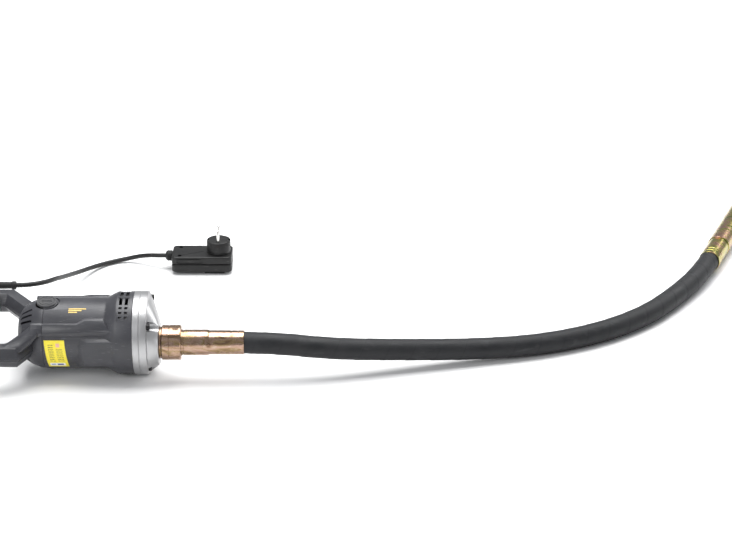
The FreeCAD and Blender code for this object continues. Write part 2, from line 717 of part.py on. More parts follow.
def handle_screws():
    screws = []
    for x, y in HANDLE_SCREWS:
        screw = post(x, y, SCREW_HEAD_Z, SCREW_TOP_Z, SCREW_SHANK_R)
        head = post(x, y, SCREW_HEAD_Z - 2.5, SCREW_HEAD_Z, SCREW_HEAD_R)
        slot = block(x - 3, x + 3, y - 0.5, y + 0.5, SCREW_HEAD_Z - 3, SCREW_HEAD_Z - 1.2)
        screws.append(screw.fuse(head).cut(slot))
    return screws


# ---- Gear case --------------------------------------------------------------------------------
def circle_at(x, y, radius):
    return Part.Wire(Part.makeCircle(radius, Vector(x, y, 0), Vector(1, 0, 0)))


def gear_case_plate():
    """The rear half of the gear case, which carries the armature's front bearing."""
    register_r = CASE_SCREW_R - CASE_BOSS_R - 0.2
    outer, width = BEARING_6001[1:]
    tail_outer = BEARING_608[1]
    body = fuse_all([
        rod(BARREL_FRONT_X, PLATE_FRONT_X, CASE_R),
        ring(BARREL_FRONT_X - 5, BARREL_FRONT_X, register_r, register_r - 4),
        rod(FRONT_BEARING_X, BARREL_FRONT_X, outer + 3),
    ])
    holes = [
        rod(FRONT_BEARING_X - 1, FRONT_BEARING_X + width, outer + FIT),
        rod(FRONT_BEARING_X, PLATE_FRONT_X + 1, 9.0),
        rod(SPINDLE_REAR_BEARING_X, PLATE_FRONT_X + 1, tail_outer + FIT, OUTPUT_Y),
    ]
    for y, z in case_screw_places():
        holes.append(rod(BARREL_FRONT_X - 1, PLATE_FRONT_X + 1, CASE_SCREW_SHANK_R + GAP, y, z))
    return cut_all(body, holes)


def gear_case_nose():
    """The front of the gear case: a dome that leans over to the output axis, with four screw bosses."""
    flange = rod(PLATE_FRONT_X, CASE_FRONT_X, CASE_R)
    dome = Part.makeLoft([
        circle_at(CASE_FRONT_X, 0, CASE_R - 3.5),
        circle_at(NOSE_MID_X, NOSE_MID_Y, NOSE_MID_R),
        circle_at(NOSE_FRONT_X, OUTPUT_Y, NOSE_R),
    ], True, False)
    edge = max(flange.Edges, key=lambda e: e.BoundBox.XMin if e.Closed else -1000)
    flange = flange.makeChamfer(2.0, [edge])
    body = flange.fuse(dome)
    hollow = rod(PLATE_FRONT_X - 1, CASE_FRONT_X - 1, CASE_R - CASE_WALL)
    bosses = [rod(PLATE_FRONT_X - 1, CASE_FRONT_X - 1, CASE_BOSS_R + 0.8, y, z) for y, z in case_screw_places()]
    hollow = cut_all(hollow, bosses)
    inner_dome = Part.makeLoft([
        circle_at(CASE_FRONT_X - 1.2, 0, CASE_R - CASE_WALL - 5),
        circle_at(CASE_FRONT_X + 4, NOSE_MID_Y * 0.5, NOSE_MID_R - 2),
    ], True, True)
    outer, width = BEARING_6203[1:]
    seat_front = SPINDLE_FRONT_BEARING_X + width
    holes = [
        hollow,
        inner_dome,
        rod(0, seat_front, outer + FIT, OUTPUT_Y),
        rod(seat_front - 1, NOSE_FRONT_X + 1, ADAPTER_SPIGOT_R + FIT, OUTPUT_Y),
    ]
    for y, z in case_screw_places():
        holes.append(rod(PLATE_FRONT_X - 1, CASE_FRONT_X + 1, CASE_SCREW_SHANK_R + GAP, y, z))
        holes.append(rod(CASE_FRONT_X, NOSE_FRONT_X + 10, CASE_BOSS_R + 1.0, y, z))
    return cut_all(body, holes)


def case_screws():
    screws = []
    for y, z in case_screw_places():
        shank = rod(CASE_FRONT_X - CASE_SCREW_LENGTH, CASE_FRONT_X, CASE_SCREW_SHANK_R, y, z)
        head = rod(CASE_FRONT_X, CASE_FRONT_X + CASE_SCREW_HEAD, CASE_SCREW_HEAD_R, y, z)
        socket = rod(CASE_FRONT_X + 1.5, CASE_FRONT_X + CASE_SCREW_HEAD + 1, 2.0, y, z)
        screws.append(shank.fuse(head).cut(socket))
    return screws


def floor_cut(shape):
    """The small flat on the lowest point of the gear case, which the unit rests on."""
    return shape.cut(block(-100, 100, -100, 100, -10, 0))


def coupling_adapter():
    """Screwed into the nose: a neck and a thread that the hose's nut goes on, with the spindle's seal in it."""
    rear = SPINDLE_FRONT_BEARING_X + BEARING_6203[2] + 0.2
    body = fuse_all([
        rod(rear, NOSE_FRONT_X, ADAPTER_SPIGOT_R, OUTPUT_Y),
        rod(NOSE_FRONT_X, NECK_FRONT_X, NECK_R, OUTPUT_Y),
        rod(NECK_FRONT_X, ADAPTER_FRONT_X, ADAPTER_THREAD_R, OUTPUT_Y),
    ])
    return cut_all(body, [
        rod(rear - 1, ADAPTER_FRONT_X + 1, SPINDLE_R + BORE_ROOM, OUTPUT_Y),
        rod(rear - 1, rear + SEAL_WIDTH + 1, SEAL_R + FIT, OUTPUT_Y),
    ])


def coupling_nut():
    """The ring nut that holds the hose's ferrule on the adapter, with spanner flats on its rim."""
    rear = NECK_FRONT_X + GAP
    lip = FERRULE_COLLAR_FRONT_X + GAP
    body = turned([
        (rear, 0), (rear, NUT_R - 1), (rear + 1, NUT_R), (NUT_FRONT_X - 1.5, NUT_R), (NUT_FRONT_X, NUT_R - 1.5),
        (NUT_FRONT_X, 0),
    ], OUTPUT_Y)
    body = cut_all(body, [
        rod(rear - 1, lip, ADAPTER_THREAD_R + GAP, OUTPUT_Y),
        rod(lip - 1, NUT_FRONT_X + 1, FERRULE_R + GAP, OUTPUT_Y),
    ])
    flat_x = (NUT_FRONT_X - NUT_FLAT_LENGTH, NUT_FRONT_X + 1)
    flat = block(*flat_x, -NUT_R, NUT_R, NUT_R - NUT_FLAT_DEPTH, NUT_R + 5)
    flat.translate(Vector(0, OUTPUT_Y, 0))
    return cut_all(body, [turn_x(flat, 90 * k, OUTPUT_Y) for k in range(4)])


def drive_ferrule():
    rear = ADAPTER_FRONT_X + GAP
    body = turned([
        (rear, 0), (rear, FERRULE_COLLAR_R), (FERRULE_COLLAR_FRONT_X, FERRULE_COLLAR_R),
        (FERRULE_COLLAR_FRONT_X, FERRULE_R), (FERRULE_STEP_X, FERRULE_R), (FERRULE_STEP_X + 1, FERRULE_SLEEVE_R),
        (FERRULE_FRONT_X, FERRULE_SLEEVE_R), (FERRULE_FRONT_X, 0),
    ], OUTPUT_Y)
    return cut_all(body, [
        rod(rear - 1, FERRULE_FRONT_X, SPINDLE_R + BORE_ROOM, OUTPUT_Y),
        rod(SPINDLE_FRONT_X + 2, HOSE_START_X, BUSH_R + FIT, OUTPUT_Y),
        rod(HOSE_START_X, FERRULE_FRONT_X + 1, HOSE_R + HOSE_SEAT_CLEARANCE, OUTPUT_Y),
    ])


def spindle():
    body = turned([
        (SPINDLE_REAR_BEARING_X, 0), (SPINDLE_REAR_BEARING_X, SPINDLE_TAIL_R), (-0.6, SPINDLE_TAIL_R),
        (-0.6, WHEEL_SEAT_R), (GEAR_REAR_X + GEAR_WIDTH, WHEEL_SEAT_R), (GEAR_REAR_X + GEAR_WIDTH, SPINDLE_R),
        (SPINDLE_FRONT_X, SPINDLE_R), (SPINDLE_FRONT_X, 0),
    ], OUTPUT_Y)
    half = SOCKET_SIDE / 2
    return body.cut(block(SOCKET_REAR_X, SPINDLE_FRONT_X + 1, OUTPUT_Y - half, OUTPUT_Y + half, -half, half))


def core_drive_end():
    """The square end of the turning core, in the spindle's socket, and the sleeve crimped on the core."""
    half = SQUARE_SIDE / 2
    square = block(SQUARE_REAR_X, SQUARE_FRONT_X, OUTPUT_Y - half, OUTPUT_Y + half, -half, half)
    return square.fuse(rod(SQUARE_FRONT_X - 1, HOSE_START_X - 2, DRIVE_END_R, OUTPUT_Y))


# ---- Motor ------------------------------------------------------------------------------------
def armature_shaft():
    front = GEAR_REAR_X + GEAR_WIDTH + 0.2
    return turned([
        (-165, 0), (-165, REAR_JOURNAL_R), (-152, REAR_JOURNAL_R), (-152, ARMATURE_SHAFT_R),
        (FRONT_BEARING_X + BEARING_6001[2], ARMATURE_SHAFT_R), (FRONT_BEARING_X + BEARING_6001[2], PINION_SEAT_R),
        (front, PINION_SEAT_R), (front, 0),
    ])


def armature_slots(x0, x1, clearance):
    slots = []
    for k in range(SLOT_COUNT):
        half = SLOT_WIDTH / 2 - clearance
        slot = block(x0, x1, -half, half, ARMATURE_R - SLOT_DEPTH + clearance, ARMATURE_R + 1 - clearance * 20)
        slots.append(turn_x(slot, 360 * k / SLOT_COUNT))
    return slots


def armature_core():
    body = ring(CORE_REAR_X, CORE_FRONT_X, ARMATURE_R, ARMATURE_SHAFT_R + FIT)
    return cut_all(body, armature_slots(CORE_REAR_X - 1, CORE_FRONT_X + 1, 0))


def armature_windings():
    ends = [
        ring(CORE_REAR_X - END_TURN, CORE_REAR_X - FIT, END_TURN_R, ARMATURE_SHAFT_R + 2),
        ring(CORE_FRONT_X + FIT, CORE_FRONT_X + END_TURN, END_TURN_R, ARMATURE_SHAFT_R + 2),
    ]
    return fuse_all(ends + armature_slots(CORE_REAR_X - 1, CORE_FRONT_X + 1, 0.1))


def commutator():
    body = ring(COMMUTATOR_REAR_X, COMMUTATOR_FRONT_X, COMMUTATOR_R, ARMATURE_SHAFT_R + FIT)
    tools = []
    for k in range(COMMUTATOR_BARS):
        groove_x = (COMMUTATOR_REAR_X - 1, COMMUTATOR_FRONT_X + 1)
        groove = block(*groove_x, -0.3, 0.3, COMMUTATOR_R - 1.5, COMMUTATOR_R + 1)
        tools.append(turn_x(groove, 360 * k / COMMUTATOR_BARS))
    return cut_all(body, tools)


def cooling_fan():
    pieces = [
        rod(FAN_REAR_X, FAN_FRONT_X - 1, 12.0),
        rod(FAN_REAR_X, FAN_REAR_X + 2, FAN_R),
    ]
    for k in range(FAN_BLADES):
        blade = block(FAN_REAR_X + 1, FAN_FRONT_X, -0.8, 0.8, 18, FAN_R - 0.5)
        pieces.append(turn_x(blade, 360 * k / FAN_BLADES))
    return fuse_all(pieces).cut(rod(FAN_REAR_X - 1, FAN_FRONT_X + 1, ARMATURE_SHAFT_R + FIT))


def field_coil(clearance):
    """The upper field coil: two sides in the stator's slots and an arched end turn at each end."""
    above = block(-140, 0, -60, 60, 8 - clearance, 60)
    pieces = []
    for side in (-1, 1):
        near = side * (STATOR_BORE_R + 1 - clearance)
        far = side * (STATOR_BORE_R + 9 + clearance)
        pieces.append(block(
            CORE_REAR_X - 10, CORE_FRONT_X + 6, min(near, far), max(near, far), 8 - clearance, 18 + clearance,
        ))
    if clearance == 0:
        pieces.append(ring(CORE_REAR_X - 10, CORE_REAR_X - 1, 36, 28).common(above))
        pieces.append(ring(CORE_FRONT_X + 1, CORE_FRONT_X + 7, 36, 28).common(above))
        return fuse_all(pieces)
    return Part.makeCompound(pieces)


def stator_core():
    body = ring(CORE_REAR_X, CORE_FRONT_X, STATOR_R, STATOR_BORE_R)
    slots = field_coil(0.15).Solids
    return cut_all(body, slots + [mirror_z(slot) for slot in slots])


def fan_baffle():
    slope = (FLANGE_R - FLANGE_WALL - BARREL_R + BARREL_WALL) / (FLARE_FRONT_X - FLARE_REAR_X)
    outer = BARREL_R - BARREL_WALL + slope * (BAFFLE_X - FLARE_REAR_X) - 0.4
    return ring(BAFFLE_X, BAFFLE_X + 2, outer, FAN_R - 12)


# ---- Brushes ----------------------------------------------------------------------------------
def brush():
    half_x = BRUSH_LENGTH_X / 2
    half_y = BRUSH_WIDTH / 2
    carbon = block(BRUSH_X - half_x, BRUSH_X + half_x, -half_y, half_y, 0, BRUSH_TOP)
    return carbon.cut(rod(BRUSH_X - 20, BRUSH_X + 20, COMMUTATOR_R + 0.15))


def brush_holder():
    half_x = BRUSH_LENGTH_X / 2 + BRUSH_SIDE_GAP
    half_y = BRUSH_WIDTH / 2 + BRUSH_SIDE_GAP
    outer_x = half_x + HOLDER_WALL
    outer_y = half_y + HOLDER_WALL
    bottom = COMMUTATOR_R + 2.5
    top = HOLDER_TOP - GAP
    body = block(BRUSH_X - outer_x, BRUSH_X + outer_x, -outer_y, outer_y, bottom, top)
    return body.cut(block(BRUSH_X - half_x, BRUSH_X + half_x, -half_y, half_y, 0, top + 1))


def brush_spring():
    outer = post(BRUSH_X, 0, BRUSH_TOP + 0.2, HOLDER_TOP - 0.2, BRUSH_SPRING_R)
    return outer.cut(post(BRUSH_X, 0, BRUSH_TOP - 1, HOLDER_TOP + 1, BRUSH_SPRING_R - 1.0))


def brush_cap():
    bottom = HOLDER_TOP + 0.2
    body = fuse_all([
        post(BRUSH_X, 0, bottom, BRUSH_BOSS_TOP + 0.5, BRUSH_CAP_THREAD_R),
        post(BRUSH_X, 0, BRUSH_BOSS_TOP, BRUSH_BOSS_TOP + BRUSH_CAP_HEAD, BRUSH_CAP_R),
    ])
    top = BRUSH_BOSS_TOP + BRUSH_CAP_HEAD
    body = body.cut(block(BRUSH_X - 8, BRUSH_X + 8, -1, 1, top - 1.6, top + 1))
    groove = post(BRUSH_X, 0, top - 0.6, top + 1, 11.5).cut(post(BRUSH_X, 0, top - 2, top + 2, 10.3))
    return body.cut(groove)


# ---- Trigger and switch -----------------------------------------------------------------------
def trigger():
    face_y = FAR_BAR_Y - TRIGGER_PROUD
    back_y = face_y + TRIGGER_DEPTH
    outline = [
        (TRIGGER_REAR_X, FAR_BAR_Y - 1), (TRIGGER_REAR_X + 6, face_y), (TRIGGER_FRONT_X - 8, face_y + 1),
        (TRIGGER_FRONT_X, FAR_BAR_Y), (TRIGGER_FRONT_X, back_y), (TRIGGER_REAR_X, back_y),
    ]
    body = prism(outline, -TRIGGER_HALF_HEIGHT, TRIGGER_HALF_HEIGHT)
    hollow = block(
        TRIGGER_REAR_X + 4, TRIGGER_FRONT_X - 14, face_y + 5, back_y + 1,
        -TRIGGER_HALF_HEIGHT + 2.5, TRIGGER_HALF_HEIGHT - 2.5,
    )
    px, py = TRIGGER_PIVOT
    lug = prism([(px - 4.5, back_y - 2), (px + 4.5, back_y - 2), (px + 4.5, py + 3), (px - 4.5, py + 3)], -8, 8)
    bore = post(px, py, -20, 20, TRIGGER_PIN_R + RUNNING)
    return body.cut(hollow).fuse(lug).cut(bore).removeSplitter()


def switch_body():
    body = block(*SWITCH_X, *SWITCH_Y, -SWITCH_HALF_HEIGHT, SWITCH_HALF_HEIGHT)
    plunger = block(*PLUNGER_X, PLUNGER_Y, SWITCH_Y[0] + 0.5, -3, 3)
    terminal_x = (SWITCH_X[0] - 6, SWITCH_X[0] + 1)
    terminals = [block(*terminal_x, SWITCH_Y[0] + 1.5, SWITCH_Y[0] + 2.5, z - 2, z + 2) for z in TERMINAL_Z]
    return fuse_all([body, plunger] + terminals)


def trigger_spring():
    back = FAR_BAR_Y - TRIGGER_PROUD + TRIGGER_DEPTH
    start = Vector(TRIGGER_SPRING_X, back + GAP, 0)
    along = Vector(0, 1, 0)
    body = Part.makeCylinder(TRIGGER_SPRING_R, TRIGGER_SPRING_LENGTH, start, along)
    bore = Part.makeCylinder(TRIGGER_SPRING_R - SPRING_WALL, TRIGGER_SPRING_LENGTH + 2, start - along, along)
    return body.cut(bore)


# ---- Poker head -------------------------------------------------------------------------------
def poker_ferrule():
    body = turned([
        (0, 0), (0, POKER_FERRULE_R - 0.5), (0.5, POKER_FERRULE_R), (POKER_FERRULE_LENGTH - 1.5, POKER_FERRULE_R),
        (POKER_FERRULE_LENGTH - 1.5, POKER_FERRULE_R - 1), (POKER_FERRULE_LENGTH, POKER_FERRULE_R - 1),
        (POKER_FERRULE_LENGTH, POKER_BORE_R - FIT), (POKER_FERRULE_LENGTH + 14, POKER_BORE_R - FIT),
        (POKER_FERRULE_LENGTH + 14, 0),
    ])
    flats = [block(POKER_FERRULE_LENGTH - 14, POKER_FERRULE_LENGTH - 3, -20, 20, POKER_FERRULE_R - 1.0, 30)]
    flats.append(mirror_z(flats[0]))
    return cut_all(body, flats + [
        rod(-1, HOSE_INSERT + 0.2, HOSE_R + HOSE_SEAT_CLEARANCE),
        rod(0, POKER_FERRULE_LENGTH + 20, 11.0),
    ])


def poker_tube():
    body = turned([
        (POKER_FERRULE_LENGTH + FIT, 0), (POKER_FERRULE_LENGTH + FIT, POKER_R - 1),
        (POKER_FERRULE_LENGTH + 1, POKER_R), (POKER_TIP_START, POKER_R), (POKER_TIP_START, 0),
    ])
    return body.cut(rod(0, POKER_TIP_START + 1, POKER_BORE_R))


def poker_tip():
    start = POKER_TIP_START + FIT
    corner = Vector(POKER_LENGTH - 16, POKER_R, 0)
    middle = Vector(POKER_LENGTH - 5, POKER_R - 2.6, 0)
    end = Vector(POKER_LENGTH, POKER_TIP_R, 0)
    edges = [
        Part.LineSegment(Vector(start, 0, 0), Vector(start, POKER_R, 0)).toShape(),
        Part.LineSegment(Vector(start, POKER_R, 0), corner).toShape(),
        Part.Arc(corner, middle, end).toShape(),
        Part.LineSegment(end, Vector(POKER_LENGTH, 0, 0)).toShape(),
        Part.LineSegment(Vector(POKER_LENGTH, 0, 0), Vector(start, 0, 0)).toShape(),
    ]
    body = Part.Face(Part.Wire(edges)).revolve(Vector(0, 0, 0), Vector(1, 0, 0), 360)
    return body.fuse(rod(start - 14, start + 1, POKER_BORE_R - FIT)).removeSplitter()


def poker_rotor():
    rear = ROTOR_REAR_BEARING
    front = ROTOR_FRONT_BEARING + BEARING_6001[2]
    shaft = turned([
        (ROTOR_START, 0), (ROTOR_START, ROTOR_COLLAR_R), (rear - 2, ROTOR_COLLAR_R), (rear - 2, BEARING_6001[0]),
        (front + 2, BEARING_6001[0]), (front + 2, 0),
    ])
    weight = rod(rear + 15, ROTOR_FRONT_BEARING - 8, ECCENTRIC_R)
    weight = weight.cut(block(0, POKER_LENGTH, -POKER_R, POKER_R, -POKER_R, 0))
    half = ROTOR_SOCKET_SIDE / 2
    socket = block(ROTOR_START - 1, ROTOR_START + 13, -half, half, -half, half)
    return shaft.fuse(weight).removeSplitter().cut(socket)


def core_tip_end():
    half = CORE_SQUARE_SIDE / 2
    square = block(CORE_END_LENGTH - 1, CORE_END_LENGTH + 14, -half, half, -half, half)
    return rod(HOSE_INSERT + 3.3, CORE_END_LENGTH, DRIVE_END_R).fuse(square).removeSplitter()


# ---- Plug -------------------------------------------------------------------------------------
def plug_outline(amount):
    """The plug's outline seen from above, rounded at its corners."""
    x0, x1 = PLUG_X[0] + amount, PLUG_X[1] - amount
    y0, y1 = PLUG_Y[0] + amount, PLUG_Y[1] - amount
    body = block(x0, x1, y0, y1, 0, 60)
    upright = [e for e in body.Edges if abs(e.Vertexes[0].Z - e.Vertexes[1].Z) > 50]
    return body.makeFillet(PLUG_CORNER_R - amount, upright)


def soften(shape, z, radius):
    """Rounds the edges that lie all the way round at one height."""
    edges = [e for e in shape.Edges if abs(e.BoundBox.ZMin - z) < 0.01 and abs(e.BoundBox.ZMax - z) < 0.01]
    return shape.makeFillet(radius, edges)


def plug_top_shell():
    body = plug_outline(0).common(block(-50, 200, 200, 500, PLUG_SPLIT_Z, PLUG_Z[1]))
    body = soften(body, PLUG_Z[1], 2.5)
    hollow = plug_outline(PLUG_WALL).common(block(-50, 200, 200, 500, 0, PLUG_Z[1] - PLUG_WALL))
    holes = [hollow, rod(PLUG_X[0] - 5, PLUG_X[0] + 8, GLAND_R + FIT, GLAND_Y, GLAND_Z)]
    for side in (-1, 1):
        holes.append(post(PIN_BOSS_XY[0], PIN_BOSS_XY[1] + side * PIN_SPACING / 2, 20, 40, PIN_SHANK_R + FIT))
    return cut_all(body, holes + [post(x, y, 20, 40, PLUG_SCREW_HEAD_R + GAP) for x, y in PLUG_SCREWS])


def plug_bottom_shell():
    body = plug_outline(0).common(block(-50, 200, 200, 500, PLUG_Z[0], PLUG_SPLIT_Z - FIT))
    body = soften(body, PLUG_Z[0], 2.5)
    hollow = plug_outline(PLUG_WALL).common(block(-50, 200, 200, 500, PLUG_Z[0] + PLUG_WALL, 40))
    panel = block(PLUG_PANEL_X[0], PLUG_PANEL_X[1], PLUG_Y[0] + 5, PLUG_Y[1] - 5, 0, PLUG_Z[0] + 1)
    rim = [e for e in panel.Edges if e.BoundBox.ZMax < 0.01]
    panel = panel.makeChamfer(1.5, rim)
    posts = [post(x, y, PLUG_Z[0] + 1, PLUG_SPLIT_Z - FIT, 4.0) for x, y in PLUG_SCREWS]
    body = fuse_all([body.cut(hollow), panel] + posts)
    holes = [post(x, y, PLUG_Z[0] + 3, 40, PLUG_SCREW_R + FIT) for x, y in PLUG_SCREWS]
    holes.append(rod(PLUG_X[0] - 5, PLUG_X[0] + 8, GLAND_R + FIT, GLAND_Y, GLAND_Z))
    half = BUTTON_SIDE / 2 + GAP
    for y in BUTTON_Y:
        holes.append(block(BUTTON_X - half, BUTTON_X + half, y - half, y + half, -1, 20))
    return cut_all(body, holes)


def plug_button(y):
    half = BUTTON_SIDE / 2
    wide = half + BUTTON_FLANGE
    stem = block(BUTTON_X - half, BUTTON_X + half, y - half, y + half, 0.8, PLUG_Z[0] + PLUG_WALL + 1)
    flange_z = (PLUG_Z[0] + PLUG_WALL + GAP, BUTTON_SPRING_Z[0] - 0.2)
    flange = block(BUTTON_X - wide, BUTTON_X + wide, y - wide, y + wide, *flange_z)
    return stem.fuse(flange).removeSplitter()


def plug_button_spring(y):
    low, high = BUTTON_SPRING_Z
    outer = post(BUTTON_X, y, low, high, BUTTON_SPRING_R)
    return outer.cut(post(BUTTON_X, y, low - 1, high + 1, BUTTON_SPRING_R - SPRING_WALL))


def plug_pin_boss():
    """The round face of the plug, with a flat recess for the earth contact on each side."""
    x, y = PIN_BOSS_XY
    body = soften(post(x, y, PLUG_Z[1] + FIT, PIN_BOSS_TOP, PIN_BOSS_R), PIN_BOSS_TOP, 1.2)
    holes = []
    for side in (-1, 1):
        cx = x + side * (PIN_BOSS_R - 1.5)
        half = EARTH_RECESS_WIDTH / 2
        holes.append(block(cx - 2.5, cx + 2.5, y - half, y + half, PIN_BOSS_TOP - 14, PIN_BOSS_TOP + 1))
        holes.append(post(x, y + side * PIN_SPACING / 2, 20, 60, PIN_SHANK_R + FIT))
    return cut_all(body, holes)


def plug_pins():
    x, y = PIN_BOSS_XY
    pins = []
    for side in (-1, 1):
        pin_y = y + side * PIN_SPACING / 2
        pin = post(x, pin_y, PIN_BOSS_TOP + GAP / 2, PIN_BOSS_TOP + PIN_LENGTH, PIN_R)
        pin = soften(pin, PIN_BOSS_TOP + PIN_LENGTH, PIN_TIP_ROUND)
        pins.append(pin.fuse(post(x, pin_y, PIN_SHANK_BOTTOM, PIN_BOSS_TOP + PIN_LENGTH / 2, PIN_SHANK_R)))
    return pins


def plug_earth_contacts():
    x, y = PIN_BOSS_XY
    clips = []
    for side in (-1, 1):
        inner = x + side * (PIN_BOSS_R - 3.9)
        outer = x + side * (PIN_BOSS_R - 3.1)
        half = EARTH_RECESS_WIDTH / 2 - 0.6
        across = sorted((inner, outer))
        clips.append(block(*across, y - half, y + half, PIN_BOSS_TOP - 13.5, PIN_BOSS_TOP - 1))
    return clips


def plug_gland_nut():
    """The moulded sleeve with a nut's shape where the cord goes into the plug."""
    rear = PLUG_X[0] - 10.5
    body = turned([
        (rear, 0), (rear, GLAND_R + 0.4), (rear + 2.5, GLAND_NUT_R), (PLUG_X[0] - 2.5, GLAND_NUT_R),
        (PLUG_X[0] - 0.2, GLAND_R + 1), (PLUG_X[0] - 0.2, GLAND_R),
        (PLUG_X[0] + 7.5, GLAND_R), (PLUG_X[0] + 7.5, 0),
    ])
    body.translate(Vector(0, GLAND_Y, GLAND_Z))
    return body.cut(rod(-20, 40, CORD_R + FIT, GLAND_Y, GLAND_Z))


def plug_screws():
    screws = []
    for x, y in PLUG_SCREWS:
        shank = post(x, y, PLUG_Z[0] + 3.5, PLUG_Z[1] - 5, PLUG_SCREW_R)
        head = post(x, y, PLUG_Z[1] - 5, PLUG_Z[1] - 2.4, PLUG_SCREW_HEAD_R)
        slot = block(x - 2, x + 2, y - 0.4, y + 0.4, PLUG_Z[1] - 3.4, PLUG_Z[1])
        screws.append(shank.fuse(head).cut(slot))
    return screws


# ---- Cord sleeve ------------------------------------------------------------------------------
def cord_sleeve():
    """The rubber sleeve that guides the cord out of the casing, with a bead at its end."""
    body = turned([
        (INLET_X - 20, 0), (INLET_X - 20, SLEEVE_R + 1.5), (INLET_X - 12, SLEEVE_R + 1.5),
        (INLET_X - 12, SLEEVE_R + 3.5), (INLET_X - 7, SLEEVE_R + 3.5), (INLET_X - 7, SLEEVE_R + 1.5),
        (INLET_X + 4, SLEEVE_R + 1.5), (SLEEVE_FRONT_X - 6, SLEEVE_R), (SLEEVE_FRONT_X - 6, SLEEVE_BEAD_R),
        (SLEEVE_FRONT_X - 1, SLEEVE_BEAD_R), (SLEEVE_FRONT_X, SLEEVE_BEAD_R - 1), (SLEEVE_FRONT_X, 0),
    ], SLEEVE_Y)
    return body.cut(rod(INLET_X - 30, SLEEVE_FRONT_X + 1, CORD_R + FIT, SLEEVE_Y))


def cable_clamp():
    """The bar that holds the cord down inside the casing."""
    x = INLET_X - CLAMP_BACK
    return block(x - 5, x + 5, SLEEVE_Y - 9, SLEEVE_Y + 5, CORD_R + GAP, CORD_R + GAP + 4)


def label_plate():
    sheet = ring(*LABEL_X, BARREL_R + 0.4, BARREL_R + 0.05)
    wedge_points = [Vector(0, 0, 0)] + [on_circle(80, angle) for angle in LABEL_ANGLES]
    wedge = Part.Face(Part.makePolygon(wedge_points + wedge_points[:1])).extrude(Vector(-200, 0, 0))
    return sheet.common(wedge)


# ---- Build ------------------------------------------------------------------------------------
def build_unit():
    save_unit("motor_barrel", motor_barrel())
    save_unit("upper_handle_casing", upper_casing())
    save_unit("lower_handle_casing", lower_casing())
    save_unit("handle_screws", *handle_screws())
    save("gear_case_plate", floor_cut(place_unit(gear_case_plate())))
    save("gear_case_nose", floor_cut(place_unit(gear_case_nose())))
    save_unit("gear_case_screws", *case_screws())
    save_unit("label_plate", label_plate())
    save_unit("armature_shaft", armature_shaft())
    save_unit("armature_core", armature_core())
    save_unit("armature_windings", armature_windings())
    save_unit("commutator", commutator())
    save_unit("cooling_fan", cooling_fan())
    save_unit("fan_baffle", fan_baffle())
    pinion = gear(PINION_TEETH, GEAR_REAR_X, GEAR_WIDTH, 0.0, 180.0)
    save_unit("pinion", pinion.cut(rod(-20, 30, PINION_SEAT_R + FIT)))
    wheel = gear(WHEEL_TEETH, GEAR_REAR_X, GEAR_WIDTH, OUTPUT_Y, 180.0 / WHEEL_TEETH)
    save_unit("gear_wheel", wheel.cut(rod(-20, 30, WHEEL_SEAT_R + FIT, OUTPUT_Y)))
    save_unit("stator_core", stator_core())
    coil = field_coil(0)
    save_unit("field_coils", coil, mirror_z(coil))
    armature_bearings = bearing(REAR_BEARING_X, BEARING_608) + bearing(FRONT_BEARING_X, BEARING_6001)
    save_unit("armature_bearings", *armature_bearings)
    rear_bearing = bearing(SPINDLE_REAR_BEARING_X, BEARING_608, OUTPUT_Y)
    save_unit("spindle_bearings", *rear_bearing, *bearing(SPINDLE_FRONT_BEARING_X, BEARING_6203, OUTPUT_Y))
    save_unit("output_spindle", spindle())
    seal_x = SPINDLE_FRONT_BEARING_X + BEARING_6203[2] + 0.4
    save_unit("spindle_seal", ring(seal_x, seal_x + SEAL_WIDTH, SEAL_R, SPINDLE_R + RUNNING, OUTPUT_Y))


def build_brushes():
    save_unit("upper_brush", brush())
    save_unit("lower_brush", mirror_z(brush()))
    for name, shape in (
        ("brush_holders", brush_holder()), ("brush_springs", brush_spring()), ("brush_caps", brush_cap()),
    ):
        save_unit(name, shape, mirror_z(shape))


def build_controls():
    save_unit("trigger", trigger())
    px, py = TRIGGER_PIVOT
    save_unit("trigger_pin", post(px, py, -TRIGGER_PIN_HALF_LENGTH, TRIGGER_PIN_HALF_LENGTH, TRIGGER_PIN_R))
    save_unit("switch_body", switch_body())
    save_unit("trigger_spring", trigger_spring())
    save_unit("cord_sleeve", cord_sleeve())
    save_unit("cable_clamp", cable_clamp())
    save_unit("cord_inside_sleeve", rod(INLET_X - 44, CORD_ROUTE[0][0] - FIT, CORD_R, SLEEVE_Y))


def build_coupling():
    save_unit("coupling_adapter", coupling_adapter())
    save_unit("coupling_nut", coupling_nut())
    save_unit("drive_ferrule", drive_ferrule())
    save_unit("ferrule_bush", ring(*BUSH_X, BUSH_R, DRIVE_END_R + RUNNING, OUTPUT_Y))
    save_unit("core_drive_end", core_drive_end())


def build_hose():
    path, radii = rounded_path(HOSE_ROUTE)
    print("hose radii", [round(r) for r in radii], "length", round(path.Length, 1))
    hose = swept(path, HOSE_R).cut(swept(path, HOSE_BORE_R))
    section = math.pi * (HOSE_R ** 2 - HOSE_BORE_R ** 2)
    print("hose volume / section x length", round(hose.Volume / section / path.Length, 4))
    save("rubber_hose", hose)
    core_path, radii = rounded_path(HOSE_ROUTE, 1.7, 3.0)
    save("flexible_core", swept(core_path, CORE_R))


def build_poker():
    save_poker("poker_ferrule", poker_ferrule())
    save_poker("poker_tube", poker_tube())
    save_poker("poker_tip", poker_tip())
    save_poker("poker_rotor", poker_rotor())
    save_poker("core_tip_end", core_tip_end())
    save_poker("rotor_bearings", *(bearing(ROTOR_REAR_BEARING, BEARING_6001)
                                   + bearing(ROTOR_FRONT_BEARING, BEARING_6001)))
    seal = ring(ROTOR_START + 2, ROTOR_START + 10, POKER_BORE_R - FIT, ROTOR_COLLAR_R + RUNNING)
    save_poker("poker_seal", seal)


